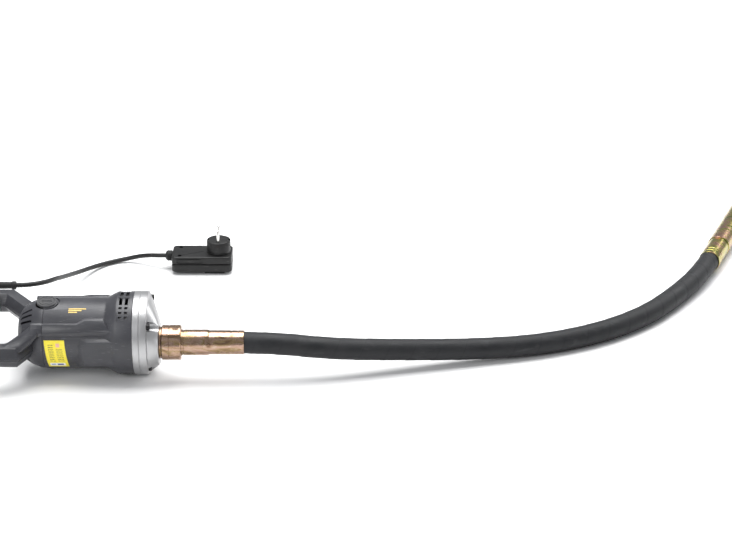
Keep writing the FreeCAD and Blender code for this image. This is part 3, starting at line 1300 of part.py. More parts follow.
def build_cord_and_plug():
    path, radii = rounded_path(CORD_ROUTE)
    print("cord radii", [round(r) for r in radii], "length", round(path.Length, 1))
    cord = swept(path, CORD_R)
    print("cord volume / section x length", round(cord.Volume / (math.pi * CORD_R ** 2) / path.Length, 4))
    save("power_cord", cord)
    save("plug_top_shell", plug_top_shell())
    save("plug_bottom_shell", plug_bottom_shell())
    save("plug_pin_boss", plug_pin_boss())
    save("plug_pins", *plug_pins())
    save("plug_earth_contacts", *plug_earth_contacts())
    save("plug_gland_nut", plug_gland_nut())
    save("plug_screws", *plug_screws())
    save("test_button", plug_button(BUTTON_Y[0]))
    save("reset_button", plug_button(BUTTON_Y[1]))
    save("button_springs", plug_button_spring(BUTTON_Y[0]), plug_button_spring(BUTTON_Y[1]))
    save("plug_circuit_board", block(*BOARD_X, PLUG_Y[0] + 4, PLUG_Y[1] - 4, *BOARD_Z))


build_unit()
build_brushes()
build_controls()
build_coupling()
build_hose()
build_poker()
build_cord_and_plug()
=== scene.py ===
import json
import math

import bpy
from mathutils import Matrix, Vector


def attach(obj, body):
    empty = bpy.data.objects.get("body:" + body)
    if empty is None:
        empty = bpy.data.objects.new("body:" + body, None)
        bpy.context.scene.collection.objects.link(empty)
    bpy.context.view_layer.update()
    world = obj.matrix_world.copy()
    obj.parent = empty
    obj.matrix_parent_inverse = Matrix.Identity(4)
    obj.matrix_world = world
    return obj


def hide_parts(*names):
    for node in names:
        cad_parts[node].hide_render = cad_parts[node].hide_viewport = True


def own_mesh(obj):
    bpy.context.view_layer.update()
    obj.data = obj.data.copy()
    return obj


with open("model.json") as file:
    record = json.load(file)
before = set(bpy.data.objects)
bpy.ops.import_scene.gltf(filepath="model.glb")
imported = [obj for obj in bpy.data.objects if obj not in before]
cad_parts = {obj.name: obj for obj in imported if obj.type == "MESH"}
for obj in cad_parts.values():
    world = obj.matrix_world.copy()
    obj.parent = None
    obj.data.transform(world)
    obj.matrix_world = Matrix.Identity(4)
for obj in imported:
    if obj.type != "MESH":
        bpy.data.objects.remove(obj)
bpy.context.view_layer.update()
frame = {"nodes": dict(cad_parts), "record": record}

# Concrete vibrator: motor unit with a ring handle, rubber hose with a turning core, and a poker head.
# Pieces are modelled in millimetres, the motor unit's about its motor axis, and brought to metres as they are placed.

# ---- Places ----------------------------------------------------------------------------------------------------
MM = 0.001
ROLL = math.radians(6.4)          # the unit lies rolled over on its round gear case
AXIS_HEIGHT = 58.0
OUTPUT_Y = -26.25                 # the spindle's axis, beside the motor's
POKER_START = (843.5, 340.0, 17.5)
POKER_TURN = math.radians(68.5)
ON_FLOOR = Matrix.Scale(MM, 4)
ON_UNIT = ON_FLOOR @ Matrix.Translation((0, 0, AXIS_HEIGHT)) @ Matrix.Rotation(ROLL, 4, "X")
ON_OUTPUT = ON_UNIT @ Matrix.Translation((0, OUTPUT_Y, 0))
ON_POKER = ON_FLOOR @ Matrix.Translation(POKER_START) @ Matrix.Rotation(POKER_TURN, 4, "Z")
X_TO_Z = Matrix.Rotation(math.radians(-90), 4, "Y")      # stands a piece made along X up along Z
SIDE_VIEW = Matrix.Rotation(math.radians(90), 4, "X")    # stands an outline in XY up in XZ, rising towards -Y
END_VIEW = Matrix(((0, 0, 1, 0), (1, 0, 0, 0), (0, 1, 0, 0), (0, 0, 0, 1)))   # outline in YZ, rising along X
FLIP_Z = Matrix.Scale(-1, 4, (0, 0, 1))
FLIP_Y = Matrix.Scale(-1, 4, (0, 1, 0))

# ---- Sizes -----------------------------------------------------------------------------------------------------
BARREL_R = 50.0
BARREL_BORE_R = 45.0
BARREL_REAR = -134.0
BARREL_FRONT = -10.0
FLARE_REAR = -50.0
FLARE_FRONT = -32.0
FLANGE_R = 58.0
FLANGE_BORE_R = 54.0
BAND_RISE = 4.0
VENT_COLUMNS = (-27.0, -19.0)
VENT_ROWS = ((10.0, 14.0), (22.5, 4.0), (30.5, 4.0), (38.0, 4.0))   # degrees from the top, height
VENT_FIELD_X = (-31.0, -15.0)
VENT_FIELD_ANGLES = (2.2, 43.0)
VENT_FIELD_DEPTH = 0.7
BRUSH_X = -131.0
CAP_REAR = -171.0
BAR_HALF_HEIGHT = 15.0
BAR_LIP = 2.0
BAR_CHAMFER = 7.0
BAR_WALL = 3.0
NEAR_BAR_Y = -74.0
FAR_BAR_Y = 72.0
BAR_WIDTH = 28.0
HANDLE_REAR = -346.0
INLET_X = -292.0
INLET_Y = 143.0
SLEEVE_Y = 129.0
SLEEVE_FRONT = -195.0
CASE_R = 58.6
CASE_SCREW_R = 52.0
CASE_SCREW_ANGLE = math.radians(40.0)
HOSE_R = 15.5
HOSE_WRAP = 37.0                  # pitch of the cloth wrap
WRAP_STEP = 0.35                  # thickness of one lap
CORD_R = 3.5
POKER_R = 17.5
POKER_FERRULE = 62.0              # length of the poker's ferrule
POKER_TIP = 352.0
POKER_END = 390.0
PLUG_X = (11.5, 104.5)
PLUG_Y = (328.0, 377.0)
PLUG_Z = (4.0, 29.2)
PLUG_SPLIT = 17.0
PIN_XY = (83.6, 353.0)
PIN_BOSS_TOP = 49.0
PIN_SPACING = 19.0
GLAND_Y = 356.5
GLAND_Z = 20.5

# Routes, in metres.
HOSE_ROUTE = (
    (0.100, -0.026086, 0.055074), (0.178, -0.026086, 0.055074), (0.264, -0.020, 0.042), (0.362, 0.002, 0.030),
    (0.460, 0.024, 0.020), (0.555, 0.046, 0.0155), (0.645, 0.084, 0.0155), (0.723, 0.145, 0.0155),
    (0.780, 0.222, 0.0155), (0.82847, 0.30186, 0.0175), (0.85999, 0.38187, 0.0175),
)
CORD_ROUTE = (
    (-0.209, 0.128196, 0.072379), (-0.187, 0.128196, 0.072379), (-0.166, 0.1345, 0.072), (-0.151, 0.1505, 0.069),
    (-0.144, 0.176, 0.062), (-0.141, 0.212, 0.048), (-0.136, 0.254, 0.033), (-0.128, 0.297, 0.0185),
    (-0.112, 0.341, 0.0075), (-0.090, 0.368, 0.0035), (-0.062, 0.380, 0.005), (-0.034, 0.371, 0.0145),
    (-0.010, 0.3565, 0.0205), (0.014, 0.3565, 0.0205),
)


# ---- Modelling steps -------------------------------------------------------------------------------------------
def alone(piece):
    """Selects one piece and nothing else."""
    if bpy.context.mode != "OBJECT":
        bpy.ops.object.mode_set(mode="OBJECT")
    bpy.ops.object.select_all(action="DESELECT")
    piece.select_set(True)
    bpy.context.view_layer.objects.active = piece


def edit(piece):
    alone(piece)
    bpy.ops.object.mode_set(mode="EDIT")
    bpy.ops.mesh.select_all(action="SELECT")


def done():
    bpy.ops.object.mode_set(mode="OBJECT")
    return bpy.context.object


def mend(piece):
    """Merges points that meet and turns all faces outwards."""
    edit(piece)
    bpy.ops.mesh.remove_doubles(threshold=0.001)
    bpy.ops.mesh.dissolve_degenerate(threshold=0.001)
    bpy.ops.mesh.delete_loose(use_verts=True, use_edges=True, use_faces=False)
    bpy.ops.mesh.select_all(action="SELECT")
    bpy.ops.mesh.normals_make_consistent(inside=False)
    return done()


def move(piece, matrix):
    piece.data.transform(matrix)
    if matrix.determinant() < 0:
        mend(piece)
    return piece


def outline_face(name, outline, fill="NGON", height=0.0):
    """A circle with as many corners as the outline, and its corners moved to the outline."""
    bpy.ops.object.select_all(action="DESELECT")
    bpy.ops.mesh.primitive_circle_add(vertices=len(outline), fill_type=fill)
    piece = bpy.context.object
    piece.name = name
    for corner, (x, y) in zip(piece.data.vertices, outline):
        corner.co = (x, y, height)
    return piece


def prism(name, outline, start, rises):
    """An outline drawn along Z from start; each rise is a height and how far the sides lean in over it."""
    piece = outline_face(name, outline, height=start)
    edit(piece)
    for height, lean in rises:
        if lean == 0:
            bpy.ops.mesh.extrude_region_move(TRANSFORM_OT_translate={"value": (0, 0, height)})
        else:
            bpy.ops.mesh.extrude_region_move(TRANSFORM_OT_translate={"value": (0, 0, 0)})
            bpy.ops.mesh.inset(thickness=lean, depth=0)
            bpy.ops.transform.translate(value=(0, 0, height))
    done()
    return mend(piece)


def turned(name, profile, steps=96, degrees=360.0):
    """A piece turned about X from a closed profile of (x, radius) corners."""
    piece = outline_face(name, profile, fill="NOTHING")
    edit(piece)
    partial = degrees < 360
    sweep = math.radians(-degrees if partial else degrees)
    bpy.ops.mesh.spin(steps=steps, angle=sweep, center=(0, 0, 0), axis=(1, 0, 0))
    if partial:
        bpy.ops.mesh.select_all(action="SELECT")
        bpy.ops.mesh.fill_holes(sides=0)
    done()
    return mend(piece)


def rod(x0, x1, radius, y=0.0, z=0.0, sides=48):
    bpy.ops.object.select_all(action="DESELECT")
    bpy.ops.mesh.primitive_cylinder_add(vertices=sides, radius=radius, depth=x1 - x0)
    piece = bpy.context.object
    piece.data.transform(Matrix.Translation(((x0 + x1) / 2, y, z)) @ Matrix.Rotation(math.radians(90), 4, "Y"))
    return piece


def post(x, y, z0, z1, radius, sides=48):
    bpy.ops.object.select_all(action="DESELECT")
    bpy.ops.mesh.primitive_cylinder_add(vertices=sides, radius=radius, depth=z1 - z0)
    piece = bpy.context.object
    piece.data.transform(Matrix.Translation((x, y, (z0 + z1) / 2)))
    return piece


def block(x0, x1, y0, y1, z0, z1):
    bpy.ops.object.select_all(action="DESELECT")
    bpy.ops.mesh.primitive_cube_add(size=1)
    piece = bpy.context.object
    size = Matrix.Diagonal((x1 - x0, y1 - y0, z1 - z0, 1))
    piece.data.transform(Matrix.Translation(((x0 + x1) / 2, (y0 + y1) / 2, (z0 + z1) / 2)) @ size)
    return piece


def copied(piece, matrix):
    other = piece.copy()
    other.data = piece.data.copy()
    bpy.context.collection.objects.link(other)
    return move(other, matrix)


def gathered(pieces):
    """Joins separate solids into one piece."""
    alone(pieces[0])
    for piece in pieces:
        piece.select_set(True)
    bpy.ops.object.join()
    return bpy.context.object


def apply_step(piece, step):
    alone(piece)
    bpy.ops.object.modifier_apply(modifier=step.name)
    return piece


def combined(piece, tool, operation):
    step = piece.modifiers.new("solid", "BOOLEAN")
    step.operation = operation
    step.solver = "EXACT"
    step.object = tool
    apply_step(piece, step)
    bpy.data.objects.remove(tool)
    return piece


def cut(piece, *tools):
    for tool in tools:
        combined(piece, tool, "DIFFERENCE")
    return piece


def grown_on(piece, *others):
    for other in others:
        combined(piece, other, "UNION")
    return piece


def soften(piece, width, segments=2, degrees=30.0):
    """Rounds the edges that turn by more than this."""
    step = piece.modifiers.new("edges", "BEVEL")
    step.width = width
    step.segments = segments
    step.limit_method = "ANGLE"
    step.angle_limit = math.radians(degrees)
    return apply_step(piece, step)


def moved_out(outline, distance):
    """The outline, counter-clockwise, with every side moved out and its corners mitred."""
    result = []
    count = len(outline)
    for i in range(count):
        before, here, after = (Vector(outline[k % count]) for k in (i - 1, i, i + 1))
        first = (here - before).normalized()
        second = (after - here).normalized()
        first_out = Vector((first.y, -first.x))
        second_out = Vector((second.y, -second.x))
        result.append(here + (first_out + second_out) * (distance / (1 + first_out.dot(second_out))))
    return result


def settled(piece, name, place, body, finish, nodes=(), smooth=30.0):
    """Brings a finished piece to its place, gives it its finish, and says what it rides on and stands for."""
    alone(piece)
    piece.name = name
    piece.data.name = name
    piece.data.transform(place)
    bpy.ops.object.shade_smooth_by_angle(angle=math.radians(smooth))
    piece.data.materials.clear()
    piece.data.materials.append(finish)
    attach(piece, body)
    if nodes:
        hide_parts(*nodes)
    return piece


# ---- Finishes --------------------------------------------------------------------------------------------------
class Finish:
    """A material under construction: its nodes, joined as they are added."""

    def __init__(self, name, rough=0.5, metal=0.0, coat=0.0, sheen=0.0, shine=0.5):
        self.material = bpy.data.materials.new(name)
        self.material.use_nodes = True
        self.tree = self.material.node_tree
        self.shader = self.tree.nodes["Principled BSDF"]
        self.shader.inputs["Roughness"].default_value = rough
        self.shader.inputs["Metallic"].default_value = metal
        self.shader.inputs["Coat Weight"].default_value = coat
        self.shader.inputs["Coat Roughness"].default_value = 0.25
        self.shader.inputs["Sheen Weight"].default_value = sheen
        self.shader.inputs["Specular IOR Level"].default_value = shine

    def add(self, kind, settings=None, **inputs):
        node = self.tree.nodes.new("ShaderNode" + kind)
        for key, value in (settings or {}).items():
            setattr(node, key, value)
        for key, value in inputs.items():
            socket = node.inputs[key.replace("_", " ")] if not key.startswith("n") else node.inputs[int(key[1:])]
            if isinstance(value, bpy.types.NodeSocket):
                self.tree.links.new(value, socket)
            else:
                socket.default_value = value
        return node

    def place(self, stretch=(1, 1, 1), turn=(0, 0, 0), source="Object"):
        coordinates = self.add("TexCoord").outputs[source]
        return self.add("Mapping", Vector=coordinates, Rotation=turn, Scale=stretch).outputs[0]

    def noise(self, place, scale, detail=3.0, distortion=0.0):
        node = self.add("TexNoise", Vector=place, Scale=scale, Detail=detail, Distortion=distortion)
        return node.outputs["Fac"]

    def ramp(self, value, *stops):
        node = self.add("ValToRGB", Fac=value)
        points = node.color_ramp.elements
        while len(points) < len(stops):
            points.new(0.5)
        for point, (position, colour) in zip(points, stops):
            point.position = position
            point.color = (*colour, 1) if len(colour) == 3 else colour
        return node.outputs["Color"]

    def ranged(self, value, low, high, start=0.3, end=0.7):
        node = self.add("MapRange", n0=value, n1=start, n2=end, n3=low, n4=high)
        return node.outputs[0]

    def sum(self, kind, first, second):
        return self.add("Math", {"operation": kind}, n0=first, n1=second).outputs[0]

    def mixed(self, share, first, second):
        node = self.add("Mix", {"data_type": "RGBA"}, n0=share, n6=first, n7=second)
        return node.outputs[2]

    def colour(self, value):
        self.tree.links.new(value, self.shader.inputs["Base Color"])

    def gloss(self, value):
        self.tree.links.new(value, self.shader.inputs["Roughness"])

    def relief(self, height, depth):
        bump = self.add("Bump", Strength=1.0, Distance=depth, Height=height)
        self.tree.links.new(bump.outputs[0], self.shader.inputs["Normal"])


def grey(level, tint=(1.0, 1.0, 1.0)):
    return tuple(level * share for share in tint)


def moulded(name, dark, light, rough=(0.42, 0.58), grain=1300.0, depth=0.00003, scuffs=0.12, shine=0.5):
    """Moulded plastic or rubber: fine spark grain, uneven gloss, faint handling scuffs."""
    made = Finish(name, shine=shine)
    place = made.place()
    cloud = made.noise(place, 22.0, 4.0)
    fine = made.noise(place, grain, 2.0)
    streak = made.noise(made.place(stretch=(30, 240, 160), turn=(0.3, 0.2, 0.6)), 3.0, 2.0)
    base = made.ramp(cloud, (0.35, dark), (0.68, light))
    worn = made.ranged(streak, 0.0, scuffs, 0.62, 0.74)
    made.colour(made.mixed(worn, base, (*grey(0.34), 1)))
    made.gloss(made.ranged(cloud, *rough))
    made.relief(fine, depth)
    return made.material


def cast_metal(name, dark, light, rough=(0.34, 0.5), depth=0.00005):
    """A blasted casting: small pits and soft cloudy tone."""
    made = Finish(name, metal=0.85)
    place = made.place()
    cloud = made.noise(place, 35.0, 5.0)
    pits = made.noise(place, 900.0, 3.0)
    made.colour(made.ramp(cloud, (0.3, dark), (0.7, light)))
    made.gloss(made.ranged(pits, *rough))
    made.relief(pits, depth)
    return made.material


def turned_metal(name, dark, light, rough=(0.2, 0.34), turn=(0, 0, 0), pitch=0.0004, depth=0.000004):
    """Machined metal with fine turning lines across its axis."""
    made = Finish(name, metal=1.0)
    place = made.place(turn=turn)
    cloud = made.noise(place, 60.0, 3.0)
    lines = made.noise(made.place(stretch=(1 / pitch, 40, 40), turn=turn), 1.0, 1.0)
    made.colour(made.ramp(cloud, (0.3, dark), (0.7, light)))
    made.gloss(made.ranged(lines, *rough))
    made.relief(lines, depth)
    return made.material


def zinc_with_painted_reflections(name, tints_and_reflection_darks, turn=(0, 0, 0), rough=(0.16, 0.32), scratches=0.5):
    """Yellow zinc: clouds of gold, olive and rose tint that follow the turned surface, with darker brown clouds that
    are painted reflection bands, and light scratches.
    """
    made = Finish(name, metal=1.0)
    cloud = made.noise(made.place(stretch=(26, 60, 60), turn=turn), 1.0, 5.0, 1.2)
    lines = made.noise(made.place(stretch=(2200, 30, 30), turn=turn), 1.0, 1.0)
    scratch = made.noise(made.place(stretch=(90, 900, 900), turn=(turn[0], turn[1], turn[2] + 0.25)), 1.0, 2.0)
    count = len(tints_and_reflection_darks)
    stops = [(0.28 + 0.44 * i / (count - 1), tone) for i, tone in enumerate(tints_and_reflection_darks)]
    # the dark outer stops of this ramp are painted reflection: dark brown bands standing in for the dark studio
    # mirrored in the metal
    base = made.ramp(cloud, *stops)
    marks = made.ranged(scratch, 0.0, scratches, 0.63, 0.72)
    made.colour(made.mixed(marks, base, (0.62, 0.58, 0.46, 1)))
    made.gloss(made.ranged(cloud, *rough))
    made.relief(lines, 0.000004)
    return made.material


def wrapped_rubber():
    """The hose: rubber cured under a cloth wrap, which leaves its weave and the edge of each turn; the step at each
    turn's edge is darkened as painted shade.
    """
    made = Finish("wrapped_rubber", rough=0.55, shine=0.3)
    run = made.place(source="UV")
    split = made.add("SeparateXYZ", Vector=run)
    along, around = split.outputs[0], split.outputs[1]
    turns = made.sum("ADD", made.sum("DIVIDE", along, HOSE_WRAP * MM), around)
    phase = made.sum("FRACT", turns, 0.0)
    # painted shade: darkens the small step at the start of each wrap turn, where shade falls
    edge = made.ranged(phase, 1.0, 0.0, 0.0, 0.035)
    place = made.place()
    dust = made.noise(place, 30.0, 5.0)
    smear = made.noise(made.place(stretch=(22, 70, 70)), 1.0, 4.0, 0.8)
    base = made.ramp(dust, (0.32, grey(0.011, (0.92, 0.97, 1.12))), (0.7, grey(0.021, (0.95, 0.98, 1.06))))
    pale = made.ranged(smear, 0.0, 0.42, 0.58, 0.78)
    dusty = made.mixed(pale, base, (*grey(0.052, (0.95, 0.98, 1.05)), 1))
    # mixes the painted shade of each lap step into the dusty rubber colour
    made.colour(made.mixed(edge, dusty, (0.010, 0.010, 0.012, 1)))
    made.gloss(made.ranged(dust, 0.46, 0.66))
    thread = made.add("Mapping", Vector=run, Scale=(1.0, HOSE_R * MM * 2 * math.pi, 1.0)).outputs[0]
    weave = None
    for slant in (-45, 45):
        turned_run = made.add("Mapping", Vector=thread, Rotation=(0, 0, math.radians(slant)))
        wave = made.add("TexWave", {"wave_type": "BANDS"}, Vector=turned_run.outputs[0], Scale=180.0)
        weave = wave.outputs["Fac"] if weave is None else made.sum("MULTIPLY", weave, wave.outputs["Fac"])
    made.relief(made.sum("ADD", weave, made.sum("MULTIPLY", dust, 0.6)), 0.00012)
    return made.material


def printed_label():
    """A yellow rating plate with plain bars in place of print and a white field."""
    made = Finish("printed_label", rough=0.38)
    split = made.add("SeparateXYZ", Vector=made.place(source="UV"))
    across, down = split.outputs[0], split.outputs[1]
    wear = made.noise(made.place(), 300.0, 3.0)
    sheet = made.ramp(wear, (0.3, (0.80, 0.66, 0.03)), (0.7, (0.86, 0.74, 0.06)))

    def field(left, right, low, high):
        inside = [
            made.add("Math", {"operation": "COMPARE"}, n0=value, n1=(a + b) / 2, n2=(b - a) / 2).outputs[0]
            for value, a, b in ((across, left, right), (down, low, high))
        ]
        return made.sum("MULTIPLY", *inside)

    colour = sheet
    speck = made.ranged(made.noise(made.place(source="UV", stretch=(14, 60, 1)), 1.0, 1.0), 0.2, 1.0, 0.42, 0.5)
    for column, (left, right) in enumerate(((0.16, 0.42), (0.54, 0.86))):
        for line in range(9):
            low = 0.30 + 0.068 * line
            if column == 1 and line > 6:
                continue
            ink = made.sum("MULTIPLY", field(left, right, low, low + 0.030), speck)
            colour = made.mixed(ink, colour, (0.16, 0.15, 0.03, 1))
    colour = made.mixed(field(0.56, 0.74, 0.80, 0.91), colour, (0.72, 0.40, 0.34, 1))
    colour = made.mixed(field(0.10, 0.86, 0.07, 0.22), colour, (0.83, 0.83, 0.82, 1))
    colour = made.mixed(field(0.16, 0.36, 0.11, 0.18), colour, (0.30, 0.34, 0.55, 1))
    colour = made.mixed(field(0.46, 0.76, 0.10, 0.19), colour, (0.10, 0.12, 0.30, 1))
    made.colour(colour)
    made.relief(wear, 0.000004)
    return made.material


def stacked_sheet(name, dark, light, pitch, turn=(0, 0, 0)):
    """Thin sheets stacked along the axis."""
    made = Finish(name, rough=0.5, metal=0.9)
    place = made.place(turn=turn)
    bands = made.add("TexWave", {"wave_type": "BANDS"}, Vector=place, Scale=1 / pitch / 3.0).outputs["Fac"]
    cloud = made.noise(place, 80.0, 3.0)
    made.colour(made.mixed(made.ranged(cloud, 0.0, 0.5), made.ramp(bands, (0.2, dark), (0.8, light)), (*dark, 1)))
    made.relief(bands, 0.00006)
    return made.material


VIOLET_GREY = (0.98, 0.99, 1.16)
casing_plastic = moulded("casing_plastic", grey(0.030, VIOLET_GREY), grey(0.042, VIOLET_GREY), rough=(0.32, 0.46))
plug_plastic = moulded("plug_plastic", grey(0.009), grey(0.014), rough=(0.34, 0.46), grain=1800.0, scuffs=0.08,
                       shine=0.3)
trigger_plastic = moulded("trigger_plastic", grey(0.17, VIOLET_GREY), grey(0.22), rough=(0.34, 0.46), scuffs=0.1)
cap_plastic = moulded("cap_plastic", grey(0.038, VIOLET_GREY), grey(0.050), rough=(0.36, 0.5), scuffs=0.1)
dark_plastic = moulded("dark_plastic", grey(0.02), grey(0.03), scuffs=0.05)
cord_rubber = moulded("cord_rubber", grey(0.010), grey(0.017), rough=(0.42, 0.55), grain=900.0, scuffs=0.1,
                      shine=0.3)
sleeve_rubber = moulded("sleeve_rubber", grey(0.012), grey(0.020), rough=(0.5, 0.66), grain=700.0, depth=0.00006,
                        shine=0.3)
black_oxide = cast_metal("black_oxide", grey(0.02), grey(0.035), rough=(0.35, 0.5), depth=0.00001)
case_casting = cast_metal("case_casting", grey(0.38, (1, 1, 1.01)), grey(0.46, (1, 1, 1.01)), rough=(0.30, 0.44))
bright_steel = turned_metal("bright_steel", grey(0.46), grey(0.60))
nickel = turned_metal("nickel", grey(0.58), grey(0.72, (1.0, 0.98, 0.93)), rough=(0.12, 0.22))
brass = turned_metal("brass", (0.62, 0.44, 0.16), (0.74, 0.56, 0.24))
copper_wire = stacked_sheet("copper_wire", (0.42, 0.15, 0.06), (0.72, 0.32, 0.16), 0.0007)
laminations = stacked_sheet("laminations", grey(0.16), grey(0.34), 0.0006)
carbon = moulded("carbon", grey(0.018), grey(0.028), rough=(0.5, 0.7), grain=2400.0, scuffs=0.0)
board = moulded("board", (0.012, 0.09, 0.035), (0.02, 0.13, 0.05), rough=(0.3, 0.4), scuffs=0.05)
vent_mesh = stacked_sheet("vent_mesh", grey(0.05), grey(0.62), 0.0009, turn=(0.0, 0.0, 0.785))
# gold, rose and olive are the zinc's own tint; the dark brown first and last tones are painted reflection bands
GOLD_TINTS_AND_REFLECTION_DARKS = ((0.17, 0.10, 0.07), (0.32, 0.21, 0.13), (0.42, 0.28, 0.22), (0.30, 0.21, 0.11), (0.15, 0.09, 0.06))
OLIVE_TINTS_AND_REFLECTION_DARKS = ((0.15, 0.17, 0.04), (0.34, 0.32, 0.08), (0.46, 0.38, 0.12), (0.40, 0.22, 0.17), (0.20, 0.22, 0.06))
gold_zinc = zinc_with_painted_reflections("gold_zinc", GOLD_TINTS_AND_REFLECTION_DARKS)
poker_zinc = zinc_with_painted_reflections("poker_zinc", OLIVE_TINTS_AND_REFLECTION_DARKS, turn=(0, 0, -POKER_TURN))
poker_steel = turned_metal("poker_steel", grey(0.42), grey(0.56), turn=(0, 0, -POKER_TURN))
gold_paint = moulded("gold_paint", (0.60, 0.40, 0.05), (0.72, 0.50, 0.09), rough=(0.25, 0.35), scuffs=0.05)
hose_rubber = wrapped_rubber()
label_film = printed_label()

INNER_FINISHES = {
    "casing_black": casing_plastic, "case_aluminium": case_casting, "yellow_zinc": gold_zinc,
    "poker_zinc": poker_zinc, "hose_rubber": hose_rubber, "soft_rubber": sleeve_rubber, "screw_black": black_oxide,
    "steel": bright_steel, "laminations": laminations, "copper": copper_wire, "brass": brass, "carbon": carbon,
    "fan_plastic": dark_plastic, "trigger_grey": trigger_plastic, "label_film": label_film,
    "plug_black": plug_plastic, "pin_nickel": nickel, "board_green": board,
}


def dress_inner_pieces():
    """Gives every piece that comes as it is from the design its finish."""
    for part in frame["record"]["subparts"]:
        mesh = frame["nodes"][part["node"]].data
        finish = INNER_FINISHES[part["material_slot"]]
        if part["node"] in ("poker_rotor", "core_tip_end", "rotor_bearings"):
            finish = poker_steel
        if len(mesh.materials) == 0:
            mesh.materials.append(finish)
        for index in range(len(mesh.materials)):
            mesh.materials[index] = finish


# ---- Motor barrel ----------------------------------------------------------------------------------------------
WIDENING_X = (-87.0, -75.0)       # where the shoulder band gets wider
BAND_LOW_EDGE = math.radians(66.0)


def from_top(radius, degrees):
    """A point (y, z) of the near side, at an angle from the top."""
    angle = math.radians(degrees)
    return (-radius * math.sin(angle), radius * math.cos(angle))


def shoulder_band(x0, x1, slant=0.0):
    """The raised shoulder along the near upper side; it widens towards the front, where its end slants."""
    steps = 6
    profile = [from_top(BARREL_R - 3, 42), from_top(BARREL_R + 1.0, 43.5)]
    for k in range(steps + 1):
        profile.append(from_top(BARREL_R + BAND_RISE - 0.15 * abs(k - steps / 2), 47 + 13 * k / steps))
    profile += [from_top(BARREL_R + 0.4, 65), from_top(BARREL_R - 3, 66)]
    stops = [x for x in WIDENING_X if x0 < x < x1] + [x1]
    rises = [(b - a, 0) for a, b in zip([x0] + stops, stops)]
    band = prism("band", profile, x0, rises)
    move(band, END_VIEW)
    for corner in band.data.vertices:
        share = min(max((corner.co.x - WIDENING_X[0]) / (WIDENING_X[1] - WIDENING_X[0]), 0.0), 1.0)
        angle = math.atan2(-corner.co.y, corner.co.z)
        wider = BAND_LOW_EDGE - (BAND_LOW_EDGE - angle) * (1 + 0.36 * share)
        radius = math.hypot(corner.co.y, corner.co.z)
        corner.co.y, corner.co.z = -radius * math.sin(wider), radius * math.cos(wider)
    top = from_top(BARREL_R, 42)[1]
    for corner in band.data.vertices:
        if corner.co.x > x1 - 0.1:
            corner.co.x += slant * (top - corner.co.z)
    return soften(band, 0.7)


def cheek():
    """The flat raised cheek on the near side, with ramps behind, below and in front of its top edge."""
    outline = [(-88.0, -25.0), (-12.0, -25.0), (-12.0, 19.5), (-82.0, 19.5), (-92.0, 8.0), (-92.0, -12.0)]
    body = prism("cheek", outline, 40.0, [(5.0, 0), (9.0, 3.6)])
    for corner in body.data.vertices:
        if corner.co.z > 50 and corner.co.x < -70:
            corner.co.x += 9.0
        if corner.co.x > -25:
            corner.co.x = -10.4
    return move(soften(body, 0.8), SIDE_VIEW)


def seated(name, x, y, profile, steps=64):
    """A piece turned about an upright axis at (x, y)."""
    piece = turned(name, profile, steps)
    return move(piece, Matrix.Translation((x, y, 0)) @ X_TO_Z)


def vent_slots():
    slots = []
    for angle, height in VENT_ROWS:
        for x in VENT_COLUMNS:
            slot = block(x - 2.25, x + 2.25, -height / 2, height / 2, FLANGE_R - 8, FLANGE_R + 2)
            for turn in (angle, -angle, 180 - angle, 180 + angle):
                slots.append(copied(slot, Matrix.Rotation(math.radians(turn), 4, "X")))
            bpy.data.objects.remove(slot)
    return gathered(slots)


def vent_recesses():
    """The shallow flat field round each group of slots."""
    x0, x1 = VENT_FIELD_X
    first, last = VENT_FIELD_ANGLES
    low, high = FLANGE_R - VENT_FIELD_DEPTH, FLANGE_R + 3
    fields = []
    for side in (0, 180):
        for start in (first, -last):
            arc = turned("field", [(x0, low), (x1, low), (x1, high), (x0, high)], 10, last - first)
            turn = math.radians(side + 90 + start)
            fields.append(move(arc, Matrix.Rotation(turn, 4, "X")))
    return gathered(fields)


